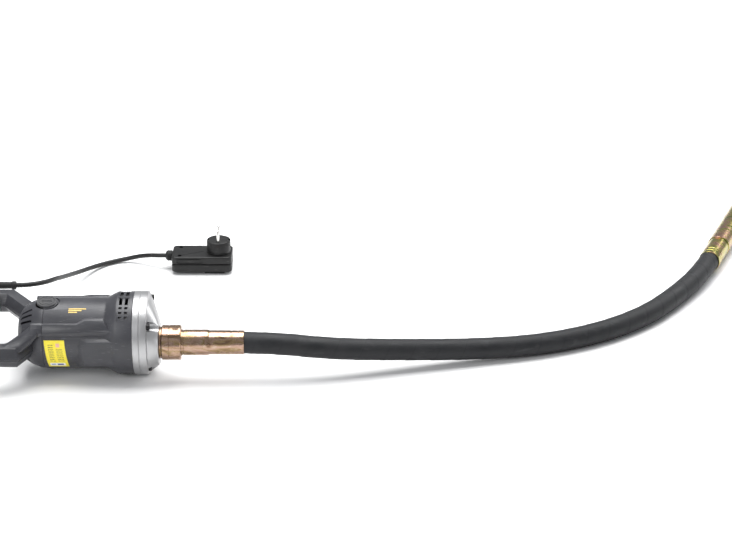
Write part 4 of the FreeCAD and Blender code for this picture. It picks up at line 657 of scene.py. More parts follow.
def motor_barrel():
    shell = turned("shell", [
        (BARREL_REAR, 0), (BARREL_REAR, BARREL_R), (FLARE_REAR, BARREL_R), (FLARE_REAR + 3, BARREL_R + 0.6),
        (FLARE_FRONT - 3, FLANGE_R - 0.8), (FLARE_FRONT, FLANGE_R), (BARREL_FRONT, FLANGE_R), (BARREL_FRONT, 0),
    ], 128)
    soften(shell, 0.8, 3)
    near_band = shoulder_band(BARREL_REAR, -47.0, 0.75)
    near_cheek = cheek()
    boss = seated("boss", BRUSH_X, 0, [(38, 0), (38, 15.5), (47.9, 15.5), (48.5, 14.9), (48.5, 0)])
    extras = [near_band, copied(near_band, FLIP_Y), near_cheek, copied(near_cheek, FLIP_Y), boss, copied(boss, FLIP_Z)]
    grown_on(shell, *extras)
    edit(shell)
    bpy.ops.mesh.bisect(plane_co=(BARREL_REAR + 0.02, 0, 0), plane_no=(1, 0, 0), use_fill=True, clear_inner=True)
    done()
    dish = seated("dish", BRUSH_X, 0, [(47.2, 15.5), (47.2, 17.4), (47.8, 18), (56, 18), (56, 15.5)])
    bore = turned("bore", [
        (BARREL_REAR - 9, 0), (BARREL_REAR - 9, BARREL_BORE_R), (FLARE_REAR, BARREL_BORE_R),
        (FLARE_FRONT, FLANGE_BORE_R), (BARREL_FRONT + 9, FLANGE_BORE_R), (BARREL_FRONT + 9, 0),
    ], 128)
    seat = post(BRUSH_X, 0, 42.0, 60, 10.9)
    cut(shell, dish, copied(seat, Matrix.Identity(4)), copied(seat, FLIP_Z), bore, vent_recesses(), vent_slots())
    bpy.data.objects.remove(seat)
    settled(shell, "motor_barrel_shell", ON_UNIT, "power_unit", casing_plastic, ["motor_barrel"])
    screens = []
    for start in (90 + 15, 90 - 43, 270 + 15, 270 - 43):
        strip = turned("strip", [(-31, 53.3), (-15, 53.3), (-15, 53.8), (-31, 53.8)], 12, 28)
        screens.append(move(strip, Matrix.Rotation(math.radians(start), 4, "X")))
    settled(gathered(screens), "vent_screens", ON_UNIT, "power_unit", vent_mesh)


def brush_cap():
    """A screw-in cap with a coin slot and turned rings."""
    top = 51.3
    cap = seated("cap", BRUSH_X, 0, [
        (42.4, 0), (42.4, 10.8), (48.55, 10.8), (48.55, 13.6), (48.9, 14), (top - 0.7, 14), (top, 13.3),
        (top, 11.6), (top - 0.6, 11.3), (top - 0.6, 10.3), (top, 10.0), (top, 7.4), (top - 0.35, 7.2),
        (top - 0.35, 6.6), (top, 6.4), (top, 0),
    ])
    slot = block(BRUSH_X - 7, BRUSH_X + 7, -0.9, 0.9, top - 1.7, top + 2)
    return cut(cap, soften(slot, 0.3))


def brush_caps():
    cap = brush_cap()
    pair = gathered([cap, copied(cap, FLIP_Z)])
    settled(pair, "screw_in_brush_caps", ON_UNIT, "power_unit", cap_plastic, ["brush_caps"])


def rating_plate():
    """A printed film that follows the barrel's side, put on a little crooked."""
    first, last = 71.0, 128.0
    steps = 16
    film = turned("film", [(-131, 50.08), (-103, 50.08), (-103, 50.38), (-131, 50.38)], steps, last - first)
    move(film, Matrix.Rotation(math.radians(90 + first), 4, "X"))
    layer = film.data.uv_layers.active
    for loop in film.data.loops:
        spot = film.data.vertices[loop.vertex_index].co
        degrees = math.degrees(math.atan2(-spot.y, spot.z))
        layer.data[loop.index].uv = ((spot.x + 131) / 28, 1 - (degrees - first) / (last - first))
    for corner in film.data.vertices:
        degrees = math.degrees(math.atan2(-corner.co.y, corner.co.z))
        corner.co.x += 4.0 * (degrees - first) / (last - first) - 1.0
    settled(film, "rating_plate_film", ON_UNIT, "power_unit", label_film, ["label_plate"])


def accent_strip():
    """Three plain gold bars on the barrel's upper side."""
    bars = []
    for row, length in enumerate((24.0, 18.0, 12.0)):
        bar = turned("bar", [(-99, 50.02), (-99 + length, 50.02), (-99 + length, 50.3), (-99, 50.3)], 4, 1.9)
        bars.append(move(bar, Matrix.Rotation(math.radians(90 + 17 + 3.4 * row), 4, "X")))
    settled(gathered(bars), "accent_bars", ON_UNIT, "power_unit", gold_paint)


# ---- Rear casings with the ring handle -------------------------------------------------------------------------
FAR_OUTER_Y = FAR_BAR_Y + BAR_WIDTH
NEAR_INNER_Y = NEAR_BAR_Y + BAR_WIDTH
GAP_REAR = HANDLE_REAR + BAR_WIDTH
HANDLE_OUTLINE = (
    (-146.0, -44.0), (-146.0, 50.5), (-151.0, 56.5), (-189.0, FAR_OUTER_Y), (INLET_X + 6, FAR_OUTER_Y),
    (INLET_X, FAR_OUTER_Y + 6), (INLET_X, INLET_Y), (HANDLE_REAR + 10, INLET_Y), (HANDLE_REAR, INLET_Y - 12),
    (HANDLE_REAR, NEAR_BAR_Y + 14), (HANDLE_REAR + 14, NEAR_BAR_Y), (-164.0, NEAR_BAR_Y), (-151.0, -51.0),
)
GAP_OUTLINE = (
    (-171.0, -20.0), (-171.0, 20.0), (-176.0, 40.0), (-203.0, FAR_BAR_Y), (GAP_REAR + 14, FAR_BAR_Y),
    (GAP_REAR, FAR_BAR_Y - 14), (GAP_REAR, NEAR_INNER_Y + 14), (GAP_REAR + 14, NEAR_INNER_Y),
    (-187.0, NEAR_INNER_Y),
)
HANDLE_SCREWS = (
    (HANDLE_REAR + 14, NEAR_BAR_Y + 34), (HANDLE_REAR + 14, 40.0), (-250.0, NEAR_BAR_Y + 14),
    (-190.0, NEAR_BAR_Y + 14), (-199.0, FAR_BAR_Y + 14), (INLET_X - 10, INLET_Y - 30), (-157.0, 33.0),
    (-157.0, -33.0),
)
BAR_SLOPE = BAR_CHAMFER / (BAR_HALF_HEIGHT - BAR_LIP)
FLOW_SECTIONS = (                 # x, then (y, z) from the bottom inner corner outwards and back over the top
    (-140.0, (-34.0, 24.0), (-46.0, 22.0), (-49.0, 23.0), (-47.0, 27.5), (-41.5, 35.0), (-36.5, 38.0)),
    (-150.0, (-34.0, 14.0), (-52.0, 12.0), (-56.0, 14.0), (-54.0, 22.0), (-44.0, 31.5), (-36.0, 34.0)),
    (-162.0, (-36.0, 4.0), (-64.0, 6.0), (-68.0, 10.0), (-64.0, 17.5), (-50.0, 24.0), (-40.0, 25.0)),
    (-176.0, (-48.0, 4.0), (-66.0, 5.0), (-69.5, 8.0), (-66.5, 15.5), (-55.5, 18.0), (-50.0, 17.0)),
    (-190.0, (-52.0, 4.0), (-66.0, 5.0), (-68.5, 7.0), (-66.5, 14.4), (-58.0, 14.8), (-54.0, 14.4)),
)


def leaning_ring(outer, inner, start, lip, top):
    """A ring between two outlines whose sides lean in above the lip."""
    ring = prism("ring", outer, start, [(lip - start, 0), (top - lip, (top - lip) * BAR_SLOPE)])
    over = top + 1.0
    lean = (over - lip) * BAR_SLOPE
    gap = prism("gap", moved_out(inner, lean), over, [(lip - over, lean), (start - lip - 1, 0)])
    return cut(ring, gap)


def half_casing():
    """One half of the rear casing, from the parting plane up, without what only one half has."""
    ring = leaning_ring(HANDLE_OUTLINE, GAP_OUTLINE, 0.0, BAR_LIP, BAR_HALF_HEIGHT)
    soften(ring, 1.1, 3, 20.0)
    cap = turned("cap", [
        (CAP_REAR, 0), (CAP_REAR, 26), (-164, 37), (-153, 44), (-142, 48.4), (BARREL_REAR, BARREL_R),
        (BARREL_REAR, 0),
    ], 128)
    soften(cap, 1.0, 3, 15.0)
    edit(cap)
    bpy.ops.mesh.bisect(plane_co=(0, 0, 0.01), plane_no=(0, 0, 1), use_fill=True, clear_inner=True)
    done()
    grown_on(ring, cap)
    inside = leaning_ring(moved_out(HANDLE_OUTLINE, -3.6), moved_out(GAP_OUTLINE, 3.6), -1.0, BAR_LIP,
                          BAR_HALF_HEIGHT - BAR_WALL)
    hollow = turned("hollow", [
        (CAP_REAR + 4, 0), (CAP_REAR + 4, 23), (-161.6, 33.5), (-151.6, 40.2), (-141, 44.6), (BARREL_REAR + 5, 45.5),
        (BARREL_REAR + 5, 0),
    ], 96)
    cut(ring, inside, hollow)
    bosses = [post(x, y, 0.2, BAR_HALF_HEIGHT - 2, 4.6, 24) for x, y in HANDLE_SCREWS]
    return grown_on(ring, gathered(bosses))


def casing_openings():
    """The trigger's slot and the bore of the cord's sleeve."""
    slot = block(-280.9, -210.1, FAR_BAR_Y - 3, FAR_BAR_Y + 12, -9.4, 9.4)
    sleeve = rod(INLET_X - 24, INLET_X + 2, 6.55, SLEEVE_Y)
    return gathered([slot, sleeve])


def louvres(middle):
    slots = []
    for angle in (14, 26, 38):
        slot = soften(block(CAP_REAR + 5, -150.0, -1.6, 1.6, 28, 60), 0.5)
        for turn in (middle + angle, middle - angle):
            slots.append(copied(slot, Matrix.Rotation(math.radians(turn), 4, "X")))
        bpy.data.objects.remove(slot)
    return gathered(slots)


def shoulder_flow():
    """The shoulder running back from the barrel's band and down into the near bar's top."""
    flow = prism("flow", FLOW_SECTIONS[0][1:], 0.0, [(1.0, 0) for _ in FLOW_SECTIONS[1:]])
    sections = {}
    for corner in flow.data.vertices:
        sections.setdefault(round(corner.co.z), []).append(corner)
    for level, corners in sections.items():
        section = FLOW_SECTIONS[level]
        for corner in corners:
            first = min(range(len(section) - 1),
                        key=lambda k: (Vector(FLOW_SECTIONS[0][1 + k]) - corner.co.xy).length)
            corner.co = (section[0], *section[1 + first])
    return soften(mend(flow), 1.6, 3, 20.0)


def rear_casings():
    half = half_casing()
    lower = copied(half, FLIP_Z)
    band = shoulder_band(-150.0, BARREL_REAR)
    grown_on(half, band, copied(band, FLIP_Y), shoulder_flow())
    cut(half, post(BRUSH_X, 0, 20, 80, 15.8), casing_openings(), louvres(0))
    heads = [post(x, y, -60, -11.5, 4.0, 32) for x, y in HANDLE_SCREWS]
    cut(lower, post(BRUSH_X, 0, -80, -20, 15.8), casing_openings(), louvres(180), gathered(heads))
    settled(half, "rear_casing_upper", ON_UNIT, "power_unit", casing_plastic,
            ["upper_handle_casing"])
    settled(lower, "rear_casing_lower", ON_UNIT, "power_unit", casing_plastic,
            ["lower_handle_casing"])


def casing_screws():
    """Pan-head screws that hold the two rear casings together."""
    screw = turned("screw", [
        (9.0, 0), (9.0, 1.4), (8.4, 2.0), (-11.5, 2.0), (-11.5, 3.6), (-13.2, 3.6), (-14.0, 2.7), (-14.0, 0),
    ], 32)
    move(screw, X_TO_Z)
    cut(screw, block(-3, 3, -0.5, 0.5, -15, -12.8), block(-0.5, 0.5, -3, 3, -15, -12.8))
    screws = [copied(screw, Matrix.Translation((x, y, 0))) for x, y in HANDLE_SCREWS]
    bpy.data.objects.remove(screw)
    settled(gathered(screws), "rear_casing_screws", ON_UNIT, "power_unit", black_oxide,
            ["handle_screws"])


def trigger_paddle():
    face = FAR_BAR_Y - 6.0
    back = face + 12.5
    outline = [
        (-280.0, FAR_BAR_Y - 1), (-277.0, face + 1.6), (-273.0, face), (-246.0, face + 0.9), (-219.0, face + 1.0),
        (-214.5, face + 2.8), (-211.0, FAR_BAR_Y), (-211.0, back), (-280.0, back),
    ]
    paddle = prism("paddle", outline, -9.0, [(18.0, 0)])
    soften(paddle, 1.2, 3)
    hollow = block(-276, -225, face + 5, back + 2, -6.5, 6.5)
    lug = block(-221.5, -212.5, back - 2, 85.5, -8, 8)
    cut(paddle, hollow)
    grown_on(paddle, soften(lug, 0.8))
    cut(paddle, post(-217.0, 82.5, -20, 20, 2.05, 32))
    ribs = [block(x, x + 1.2, face - 3, face + 1.5, -6.5, 6.5) for x in (-262.0, -256.0, -250.0, -244.0, -238.0)]
    cut(paddle, gathered(ribs))
    settled(paddle, "trigger_paddle", ON_UNIT, "trigger", trigger_plastic, ["trigger"])


def sleeve_piece():
    """The smooth rubber sleeve round the cord, with a groove at its root and a rim at its end."""
    profile = [
        (INLET_X - 20, 3.55), (INLET_X - 20, 6.5), (INLET_X - 12, 6.5), (INLET_X - 12, 8.5), (INLET_X - 7, 8.5),
        (INLET_X - 7, 6.5), (INLET_X + 4, 6.5),
    ]
    profile += [(INLET_X + 5, 6.5), (INLET_X + 6, 5.8), (INLET_X + 8, 5.6), (INLET_X + 9, 6.1), (INLET_X + 12, 6.1)]
    profile += [
        (SLEEVE_FRONT - 7, 5.0), (SLEEVE_FRONT - 6, 5.9), (SLEEVE_FRONT - 4.6, 6.15), (SLEEVE_FRONT - 1.8, 6.15),
        (SLEEVE_FRONT - 0.4, 5.7), (SLEEVE_FRONT, 4.9), (SLEEVE_FRONT, 3.55),
    ]
    sleeve = turned("sleeve", profile, 48)
    move(sleeve, Matrix.Translation((0, SLEEVE_Y, 0)))
    return settled(sleeve, "ringed_cord_sleeve", ON_UNIT, "power_unit", sleeve_rubber, ["cord_sleeve"])


# ---- Gear case -------------------------------------------------------------------------------------------------
def case_screw_places():
    across = CASE_SCREW_R * math.cos(CASE_SCREW_ANGLE)
    up = CASE_SCREW_R * math.sin(CASE_SCREW_ANGLE)
    return [(y, z) for y in (-across, across) for z in (-up, up)]


def drawn_rings(name, stations, sides=128):
    """A round body drawn forwards along X from ring to ring; each ring has its x, y and radius."""
    bpy.ops.object.select_all(action="DESELECT")
    x, y, radius = stations[0]
    bpy.ops.mesh.primitive_circle_add(vertices=sides, radius=radius, fill_type="NGON")
    piece = bpy.context.object
    piece.name = name
    piece.data.transform(Matrix.Translation((x, y, 0)) @ Matrix.Rotation(math.radians(90), 4, "Y"))
    edit(piece)
    for next_x, next_y, next_radius in stations[1:]:
        bpy.ops.mesh.extrude_region_move(TRANSFORM_OT_translate={"value": (next_x - x, next_y - y, 0)})
        share = next_radius / radius
        bpy.ops.transform.resize(value=(1, share, share), center_override=(next_x, next_y, 0))
        x, y, radius = next_x, next_y, next_radius
    done()
    return mend(piece)


def through_three(x, first, second, third):
    """The value at x of the curve through three (x, value) points."""
    total = 0.0
    points = (first, second, third)
    for i, (xi, value) in enumerate(points):
        share = value
        for j, (xj, _) in enumerate(points):
            if i != j:
                share *= (x - xj) / (xi - xj)
        total += share
    return total


def floor_trim(piece):
    """The small flat that the unit rests on."""
    low = block(-400, 400, -400, 400, -80, 0.0)
    low.data.transform(ON_FLOOR)
    alone(piece)
    return cut(piece, low)


def gear_case():
    plate = turned("plate", [
        (-10, 47), (-10, CASE_R - 0.6), (-9.4, CASE_R), (-1.6, CASE_R), (-1, CASE_R - 0.6), (-1, 9),
        (-9, 9), (-9, 14.03), (-17, 14.03), (-17, 17), (-10.5, 17), (-10.5, 41.8), (-15, 41.8), (-15, 45.8),
        (-10, 45.8),
    ], 128)
    tools = [rod(-20, 0, 2.8, y, z, 32) for y, z in case_screw_places()]
    cut(plate, gathered(tools), rod(-8, 2, 11.03, OUTPUT_Y))
    plate.data.transform(ON_UNIT)
    floor_trim(plate)
    settled(plate, "gear_case_rear_plate", Matrix.Identity(4), "power_unit", case_casting,
            ["gear_case_plate"])
    stations = [
        (-1, 0, CASE_R - 0.6), (-0.4, 0, CASE_R), (7.6, 0, CASE_R), (9.2, 0, CASE_R - 0.6), (10, 0, CASE_R - 2.4),
    ]
    steps = 12
    for k in range(steps + 1):
        x = 10.4 + 15.0 * k / steps
        y = through_three(x, (10, 0), (19, -13), (26, OUTPUT_Y))
        radius = through_three(x, (10, 54.9), (19, 42), (26, 31))
        stations.append((x, y, radius))
    stations.append((26, OUTPUT_Y, 29.6))
    nose = drawn_rings("nose", stations)
    seats = []
    for y, z in case_screw_places():
        seats.append(soften(rod(10, 36, 7.0, y, z), 0.6))
    cut(nose, gathered(seats))
    hollow = rod(-3, 9, 54.0, 0, 0, 128)
    bosses = [rod(-4, 9.5, 6.8, y, z, 32) for y, z in case_screw_places()]
    cut(hollow, gathered(bosses))
    drills = [rod(-3, 12, 2.8, y, z, 32) for y, z in case_screw_places()]
    cut(nose, hollow, rod(7, 21.3, 20.03, OUTPUT_Y), rod(20, 28, 17.03, OUTPUT_Y), gathered(drills))
    nose.data.transform(ON_UNIT)
    floor_trim(nose)
    settled(nose, "gear_case_domed_nose", Matrix.Identity(4), "power_unit", case_casting,
            ["gear_case_nose"], 24.0)


def case_screws():
    """Socket-head screws of the gear case."""
    screw = turned("screw", [
        (-28, 0), (-28, 2.0), (-27.4, 2.5), (10, 2.5), (10, 4.25), (13.4, 4.25), (14, 3.7), (14, 2.4), (13.8, 2.2),
        (11.5, 2.2), (11.5, 0),
    ], 36)
    screws = [copied(screw, Matrix.Translation((0, y, z))) for y, z in case_screw_places()]
    bpy.data.objects.remove(screw)
    settled(gathered(screws), "gear_case_socket_screws", ON_UNIT, "power_unit", black_oxide,
            ["gear_case_screws"])


# ---- Coupling --------------------------------------------------------------------------------------------------
def screw_thread(x0, x1, root, crest, pitch):
    """A row of thread crests as a profile."""
    profile = []
    turns = int((x1 - x0) / pitch)
    for k in range(turns):
        x = x0 + pitch * k
        profile += [(x, root), (x + pitch * 0.4, crest), (x + pitch * 0.6, crest)]
    return profile + [(x0 + pitch * turns, root)]


def coupling():
    adapter = turned("adapter", [(21.5, 13.03), (21.5, 17), (26, 17), (26, 21.4), (26.6, 22), (28.4, 22), (29, 21.4)]
                     + screw_thread(29.6, 44.8, 19.7, 20.7, 1.9) + [(46, 19.5), (46, 10), (28.5, 10), (28.5, 13.03)], 96)
    settled(adapter, "threaded_adapter", ON_OUTPUT, "power_unit", gold_zinc, ["coupling_adapter"])
    nut = turned("nut", [
        (29.3, 21.0), (29.3, 23.6), (30.2, 24.5), (38.8, 24.5), (39.2, 24.1), (39.8, 24.1), (40.2, 24.5),
        (54.6, 24.5), (56, 23.1), (56, 18.9), (55.4, 18.3), (50.3, 18.3), (50.3, 21.0),
    ], 128)
    flats = []
    for k in range(4):
        flat = block(44.5, 53.0, -9, 9, 23.5, 32)
        flats.append(move(flat, Matrix.Rotation(math.radians(90 * k), 4, "X")))
    for flat in flats:
        cut(nut, flat)
    settled(nut, "ring_nut", ON_OUTPUT, "nut", gold_zinc, ["coupling_nut"])
    ferrule = turned("ferrule", [
        (46.3, 10), (46.3, 20.5), (50, 20.5), (50, 18), (58, 18), (58.4, 17.6), (59.6, 17.6), (60, 18), (92.6, 18),
        (94, 17.4), (94.6, 17), (124, 17), (124.4, 16.75), (126.2, 16.75), (126.6, 17), (133, 17), (133.4, 16.75),
        (135.2, 16.75), (135.6, 17), (142.2, 17), (143, 16.4), (143, 15.6), (100, 15.6), (100, 14.03), (62, 14.03),
        (62, 10),
    ], 96)
    settled(ferrule, "hose_drive_ferrule", ON_OUTPUT, "power_unit", gold_zinc, ["drive_ferrule"])


# ---- Hose and cord ---------------------------------------------------------------------------------------------
def route_curve(name, route, radius):
    """A smooth curve with the route's points as its control points."""
    curve = bpy.data.curves.new(name, "CURVE")
    curve.dimensions = "3D"
    spline = curve.splines.new("NURBS")
    spline.points.add(len(route) - 1)
    for point, place in zip(spline.points, route):
        point.co = (*place, 1)
    spline.order_u = 3
    spline.use_endpoint_u = True
    spline.resolution_u = 24
    curve.bevel_depth = radius
    curve.bevel_resolution = 6
    curve.use_fill_caps = True
    piece = bpy.data.objects.new(name, curve)
    bpy.context.collection.objects.link(piece)
    return piece


def points_along(route, spacing):
    """Points of the smooth line through the route, evenly spaced, and their distances."""
    guide = route_curve("guide", route, 0.0)
    line = bpy.data.meshes.new_from_object(guide)
    dense = [vertex.co.copy() for vertex in line.vertices]
    bpy.data.objects.remove(guide)
    distances = [0.0]
    for a, b in zip(dense, dense[1:]):
        distances.append(distances[-1] + (b - a).length)
    count = int(distances[-1] / spacing)
    spots = []
    index = 0
    for k in range(count + 1):
        wanted = distances[-1] * k / count
        while index < len(dense) - 2 and distances[index + 1] < wanted:
            index += 1
        share = (wanted - distances[index]) / (distances[index + 1] - distances[index])
        spots.append((dense[index].lerp(dense[index + 1], share), wanted))
    return spots


def wrapped_hose():
    """The hose as a tube, each turn of its cloth wrap a thin step over the last."""
    around = 48
    spots = points_along(HOSE_ROUTE, 0.0016)
    mesh = bpy.data.meshes.new("wrapped_hose")
    corners = []
    side = Vector((0, 1, 0))
    last = len(spots) - 1
    for k, (spot, distance) in enumerate(spots):
        ahead = (spots[min(k + 1, last)][0] - spots[max(k - 1, 0)][0]).normalized()
        side = (side - ahead * side.dot(ahead)).normalized()
        other = ahead.cross(side)
        for j in range(around):
            share = j / around
            phase = (distance / (HOSE_WRAP * MM) + share) % 1.0
            lap = 1.0 - phase if phase > 0.04 else phase / 0.04 * 0.96
            radius = (HOSE_R - WRAP_STEP * (1 - lap)) * MM
            angle = 2 * math.pi * share
            corners.append(spot + (side * math.cos(angle) + other * math.sin(angle)) * radius)
    faces = []
    for k in range(last):
        for j in range(around):
            after = (j + 1) % around
            faces.append((k * around + j, k * around + after, (k + 1) * around + after, (k + 1) * around + j))
    faces.append([last * around + j for j in range(around)])
    faces.append([around - 1 - j for j in range(around)])
    mesh.from_pydata(corners, [], faces)
    layer = mesh.uv_layers.new(name="UVMap")
    for face_index, face in enumerate(mesh.polygons[:last * around]):
        column = face_index % around
        row = face_index // around
        spans = ((0, 0), (0, 1), (1, 1), (1, 0))
        for loop_index, (forward, sideways) in zip(face.loop_indices, spans):
            layer.data[loop_index].uv = (spots[row + forward][1], (column + sideways) / around)
    hose = bpy.data.objects.new("wrapped_hose", mesh)
    bpy.context.collection.objects.link(hose)
    edit(hose)
    bpy.ops.mesh.normals_make_consistent(inside=False)
    done()
    bpy.ops.object.shade_smooth_by_angle(angle=math.radians(50))
    mesh.materials.append(hose_rubber)
    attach(hose, "power_unit")
    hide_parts("rubber_hose")


def mains_cord():
    cord = route_curve("mains_cord", CORD_ROUTE, CORD_R * MM)
    cord.data.materials.append(cord_rubber)
    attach(cord, "power_unit")
    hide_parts("power_cord")


# ---- Poker head ------------------------------------------------------------------------------------------------
def poker_head():
    end = POKER_FERRULE
    ferrule = turned("ferrule", [
        (0, 15.6), (0, 16.0), (0.5, 16.5), (7.5, 16.5), (8, 16.2), (9.6, 16.2), (10.1, 16.5), (16, 16.5), (16.5, 16.2),
        (18.1, 16.2), (18.6, 16.5), (end - 2, 16.5), (end - 1.5, 15.5), (end, 15.5), (end, 13.97), (end + 14, 13.97),
        (end + 14, 11), (45.2, 11), (45.2, 15.6),
    ], 96)
    cut(ferrule, block(end - 14, end - 3, -30, 30, 15.3, 30), block(end - 14, end - 3, -30, 30, -30, -15.3))
    settled(ferrule, "poker_hose_ferrule", ON_POKER, "power_unit", poker_zinc, ["poker_ferrule"])
    tube = turned("tube", [
        (end + 0.05, 14), (end + 0.05, 16.5), (end + 1.0, POKER_R), (POKER_TIP - 0.6, POKER_R), (POKER_TIP, 17.0),
        (POKER_TIP, 14),
    ], 96)
    settled(tube, "poker_steel_tube", ON_POKER, "power_unit", poker_zinc, ["poker_tube"])
    profile = [(POKER_TIP - 14, 0), (POKER_TIP - 14, 13.97), (POKER_TIP + 0.05, 13.97), (POKER_TIP + 0.05, 17.0),
               (POKER_TIP + 0.6, POKER_R)]
    steps = 8
    for k in range(steps + 1):
        angle = math.pi / 2 * k / steps
        profile.append((POKER_END - 16 + 16 * math.sin(angle), 11 + 6.5 * math.cos(angle)))
    tip = turned("tip", profile + [(POKER_END, 0)], 96)
    settled(tip, "poker_rounded_tip", ON_POKER, "power_unit", poker_zinc, ["poker_tip"])


# ---- Plug ------------------------------------------------------------------------------------------------------
def plug_outline(inset=0.0, corner=7.0, steps=8):
    """The plug seen from above, counter-clockwise, its corners rounded."""
    x0, x1 = PLUG_X[0] + inset, PLUG_X[1] - inset
    y0, y1 = PLUG_Y[0] + inset, PLUG_Y[1] - inset
    radius = corner - inset
    outline = []
    centres = ((x1 - radius, y0 + radius, -90), (x1 - radius, y1 - radius, 0), (x0 + radius, y1 - radius, 90),
               (x0 + radius, y0 + radius, 180))
    for x, y, start in centres:
        for k in range(steps + 1):
            angle = math.radians(start + 90 * k / steps)
            outline.append((x + radius * math.cos(angle), y + radius * math.sin(angle)))
    return outline


def plug_shells():
    outline = plug_outline()
    height = PLUG_Z[1] - PLUG_SPLIT
    top = prism("top", outline, PLUG_SPLIT, [(height, 0)])
    soften(top, 2.2, 4, 60.0)
    hollow = prism("hollow", plug_outline(2.2), PLUG_SPLIT - 3, [(height + 0.8, 0)])
    groove = block(20, 62, 343.6, 344.4, PLUG_Z[1] - 0.5, PLUG_Z[1] + 2)
    groove.data.transform(Matrix.Translation((41, 344, 0)) @ Matrix.Rotation(math.radians(24), 4, "Z")
                          @ Matrix.Translation((-41, -344, 0)))
    recess = [post(24.0, y, 20, 40, 3.2, 32) for y in (336.0, 369.0)]
    pins = [post(PIN_XY[0], PIN_XY[1] + s * PIN_SPACING / 2, 20, 40, 2.03, 24) for s in (-1, 1)]
    gland = rod(PLUG_X[0] - 5, PLUG_X[0] + 8, 6.03, GLAND_Y, GLAND_Z)
    cut(top, hollow, groove, gathered(recess), gathered(pins), copied(gland, Matrix.Identity(4)))
    frame_bar = front_frame()
    grown_on(top, frame_bar)
    settled(top, "plug_upper_shell", ON_FLOOR, "power_unit", plug_plastic, ["plug_top_shell"])
    low = PLUG_SPLIT - 0.1 - PLUG_Z[0]
    bottom = prism("bottom", outline, PLUG_Z[0], [(low, 0)])
    soften(bottom, 2.0, 4, 60.0)
    hollow = prism("hollow", plug_outline(2.2), PLUG_Z[0] + 2.2, [(low, 0)])
    panel = block(62, 93, PLUG_Y[0] + 5, PLUG_Y[1] - 5, 0, PLUG_Z[0] + 1)
    cut(bottom, hollow)
    grown_on(bottom, soften(panel, 1.2))
    windows = [block(77.5 - 5.3, 77.5 + 5.3, y - 5.3, y + 5.3, -2, 12) for y in (343.0, 362.0)]
    cut(bottom, gathered(windows), gland)
    settled(bottom, "plug_lower_shell", ON_FLOOR, "power_unit", plug_plastic, ["plug_bottom_shell"])
    return [top, bottom]


def front_frame():
    """A low raised frame on the plug's near face."""
    y = PLUG_Y[0]
    outer = block(20, 58, y, y + 1.2, 19.0, 26.4)
    inner = block(21.4, 56.6, y - 2, y + 3, 20.2, 25.2)
    return cut(outer, inner)


def plug_fittings():
    x, y = PIN_XY
    boss = seated("boss", x, y, [
        (PLUG_Z[1] + 0.05, 0), (PLUG_Z[1] + 0.05, 18.5), (31.0, 18.5), (31.4, 18.1), (32.4, 18.1), (32.8, 18.5),
        (47.8, 18.5), (48.6, 18.1), (PIN_BOSS_TOP, 17.3), (PIN_BOSS_TOP, 0),
    ], 96)
    recesses = []
    for side in (-1, 1):
        centre = x + side * 17.0
        recesses.append(block(centre - 2.5, centre + 2.5, y - 3.2, y + 3.2, PIN_BOSS_TOP - 14, PIN_BOSS_TOP + 1))
        recesses.append(post(x, y + side * PIN_SPACING / 2, 20, 60, 2.03, 24))
    cut(boss, gathered(recesses))
    settled(boss, "plug_round_face", ON_FLOOR, "power_unit", plug_plastic, ["plug_pin_boss"])
    pin = turned("pin", [
        (24, 0), (24, 2.0), (49.15, 2.0), (49.15, 2.4), (66.2, 2.4), (67.1, 2.15), (67.7, 1.6), (68, 0.9), (68, 0),
    ], 40)
    move(pin, X_TO_Z)
    pins = [copied(pin, Matrix.Translation((x, y + side * PIN_SPACING / 2, 0))) for side in (-1, 1)]
    bpy.data.objects.remove(pin)
    pins = settled(gathered(pins), "plug_contact_pins", ON_FLOOR, "power_unit", nickel, ["plug_pins"])
    rear = PLUG_X[0] - 10.5
    gland = turned("gland", [
        (rear, 3.55), (rear, 5.9), (rear + 0.6, 6.4), (rear + 2.5, 8.0), (rear + 3.1, 8.4), (rear + 4.0, 8.4),
        (rear + 4.3, 8.0), (rear + 5.2, 8.0), (rear + 5.5, 8.4), (rear + 6.4, 8.4), (rear + 6.7, 8.0),
        (rear + 7.4, 8.0), (rear + 7.7, 8.4), (PLUG_X[0] - 1.6, 8.2), (PLUG_X[0] - 0.2, 7.2),
        (PLUG_X[0] - 0.2, 6.0), (PLUG_X[0] + 7.5, 6.0), (PLUG_X[0] + 7.5, 3.55),
    ], 48)
    move(gland, Matrix.Translation((0, GLAND_Y, GLAND_Z)))
    settled(gland, "plug_ribbed_gland", ON_FLOOR, "power_unit", sleeve_rubber, ["plug_gland_nut"])
    return [boss, pins, gland]


# ---- Springs ---------------------------------------------------------------------------------------------------
def coil_spring(name, radius, wire, length, turns):
    """A wound wire spring that stands on the origin along Z; radius is its outside."""
    ring = [(radius - wire + wire * math.cos(a), wire + wire * math.sin(a))
            for a in (math.radians(45 * k) for k in range(8))]
    spring = move(outline_face(name, ring, fill="NOTHING"), SIDE_VIEW)
    winding = spring.modifiers.new("winding", "SCREW")
    winding.axis = "Z"
    winding.angle = math.radians(360)
    winding.screw_offset = (length - 2 * wire) / turns
    winding.iterations = turns
    winding.steps = winding.render_steps = 20
    apply_step(spring, winding)
    edit(spring)
    bpy.ops.mesh.fill_holes(sides=0)
    done()
    return mend(spring)


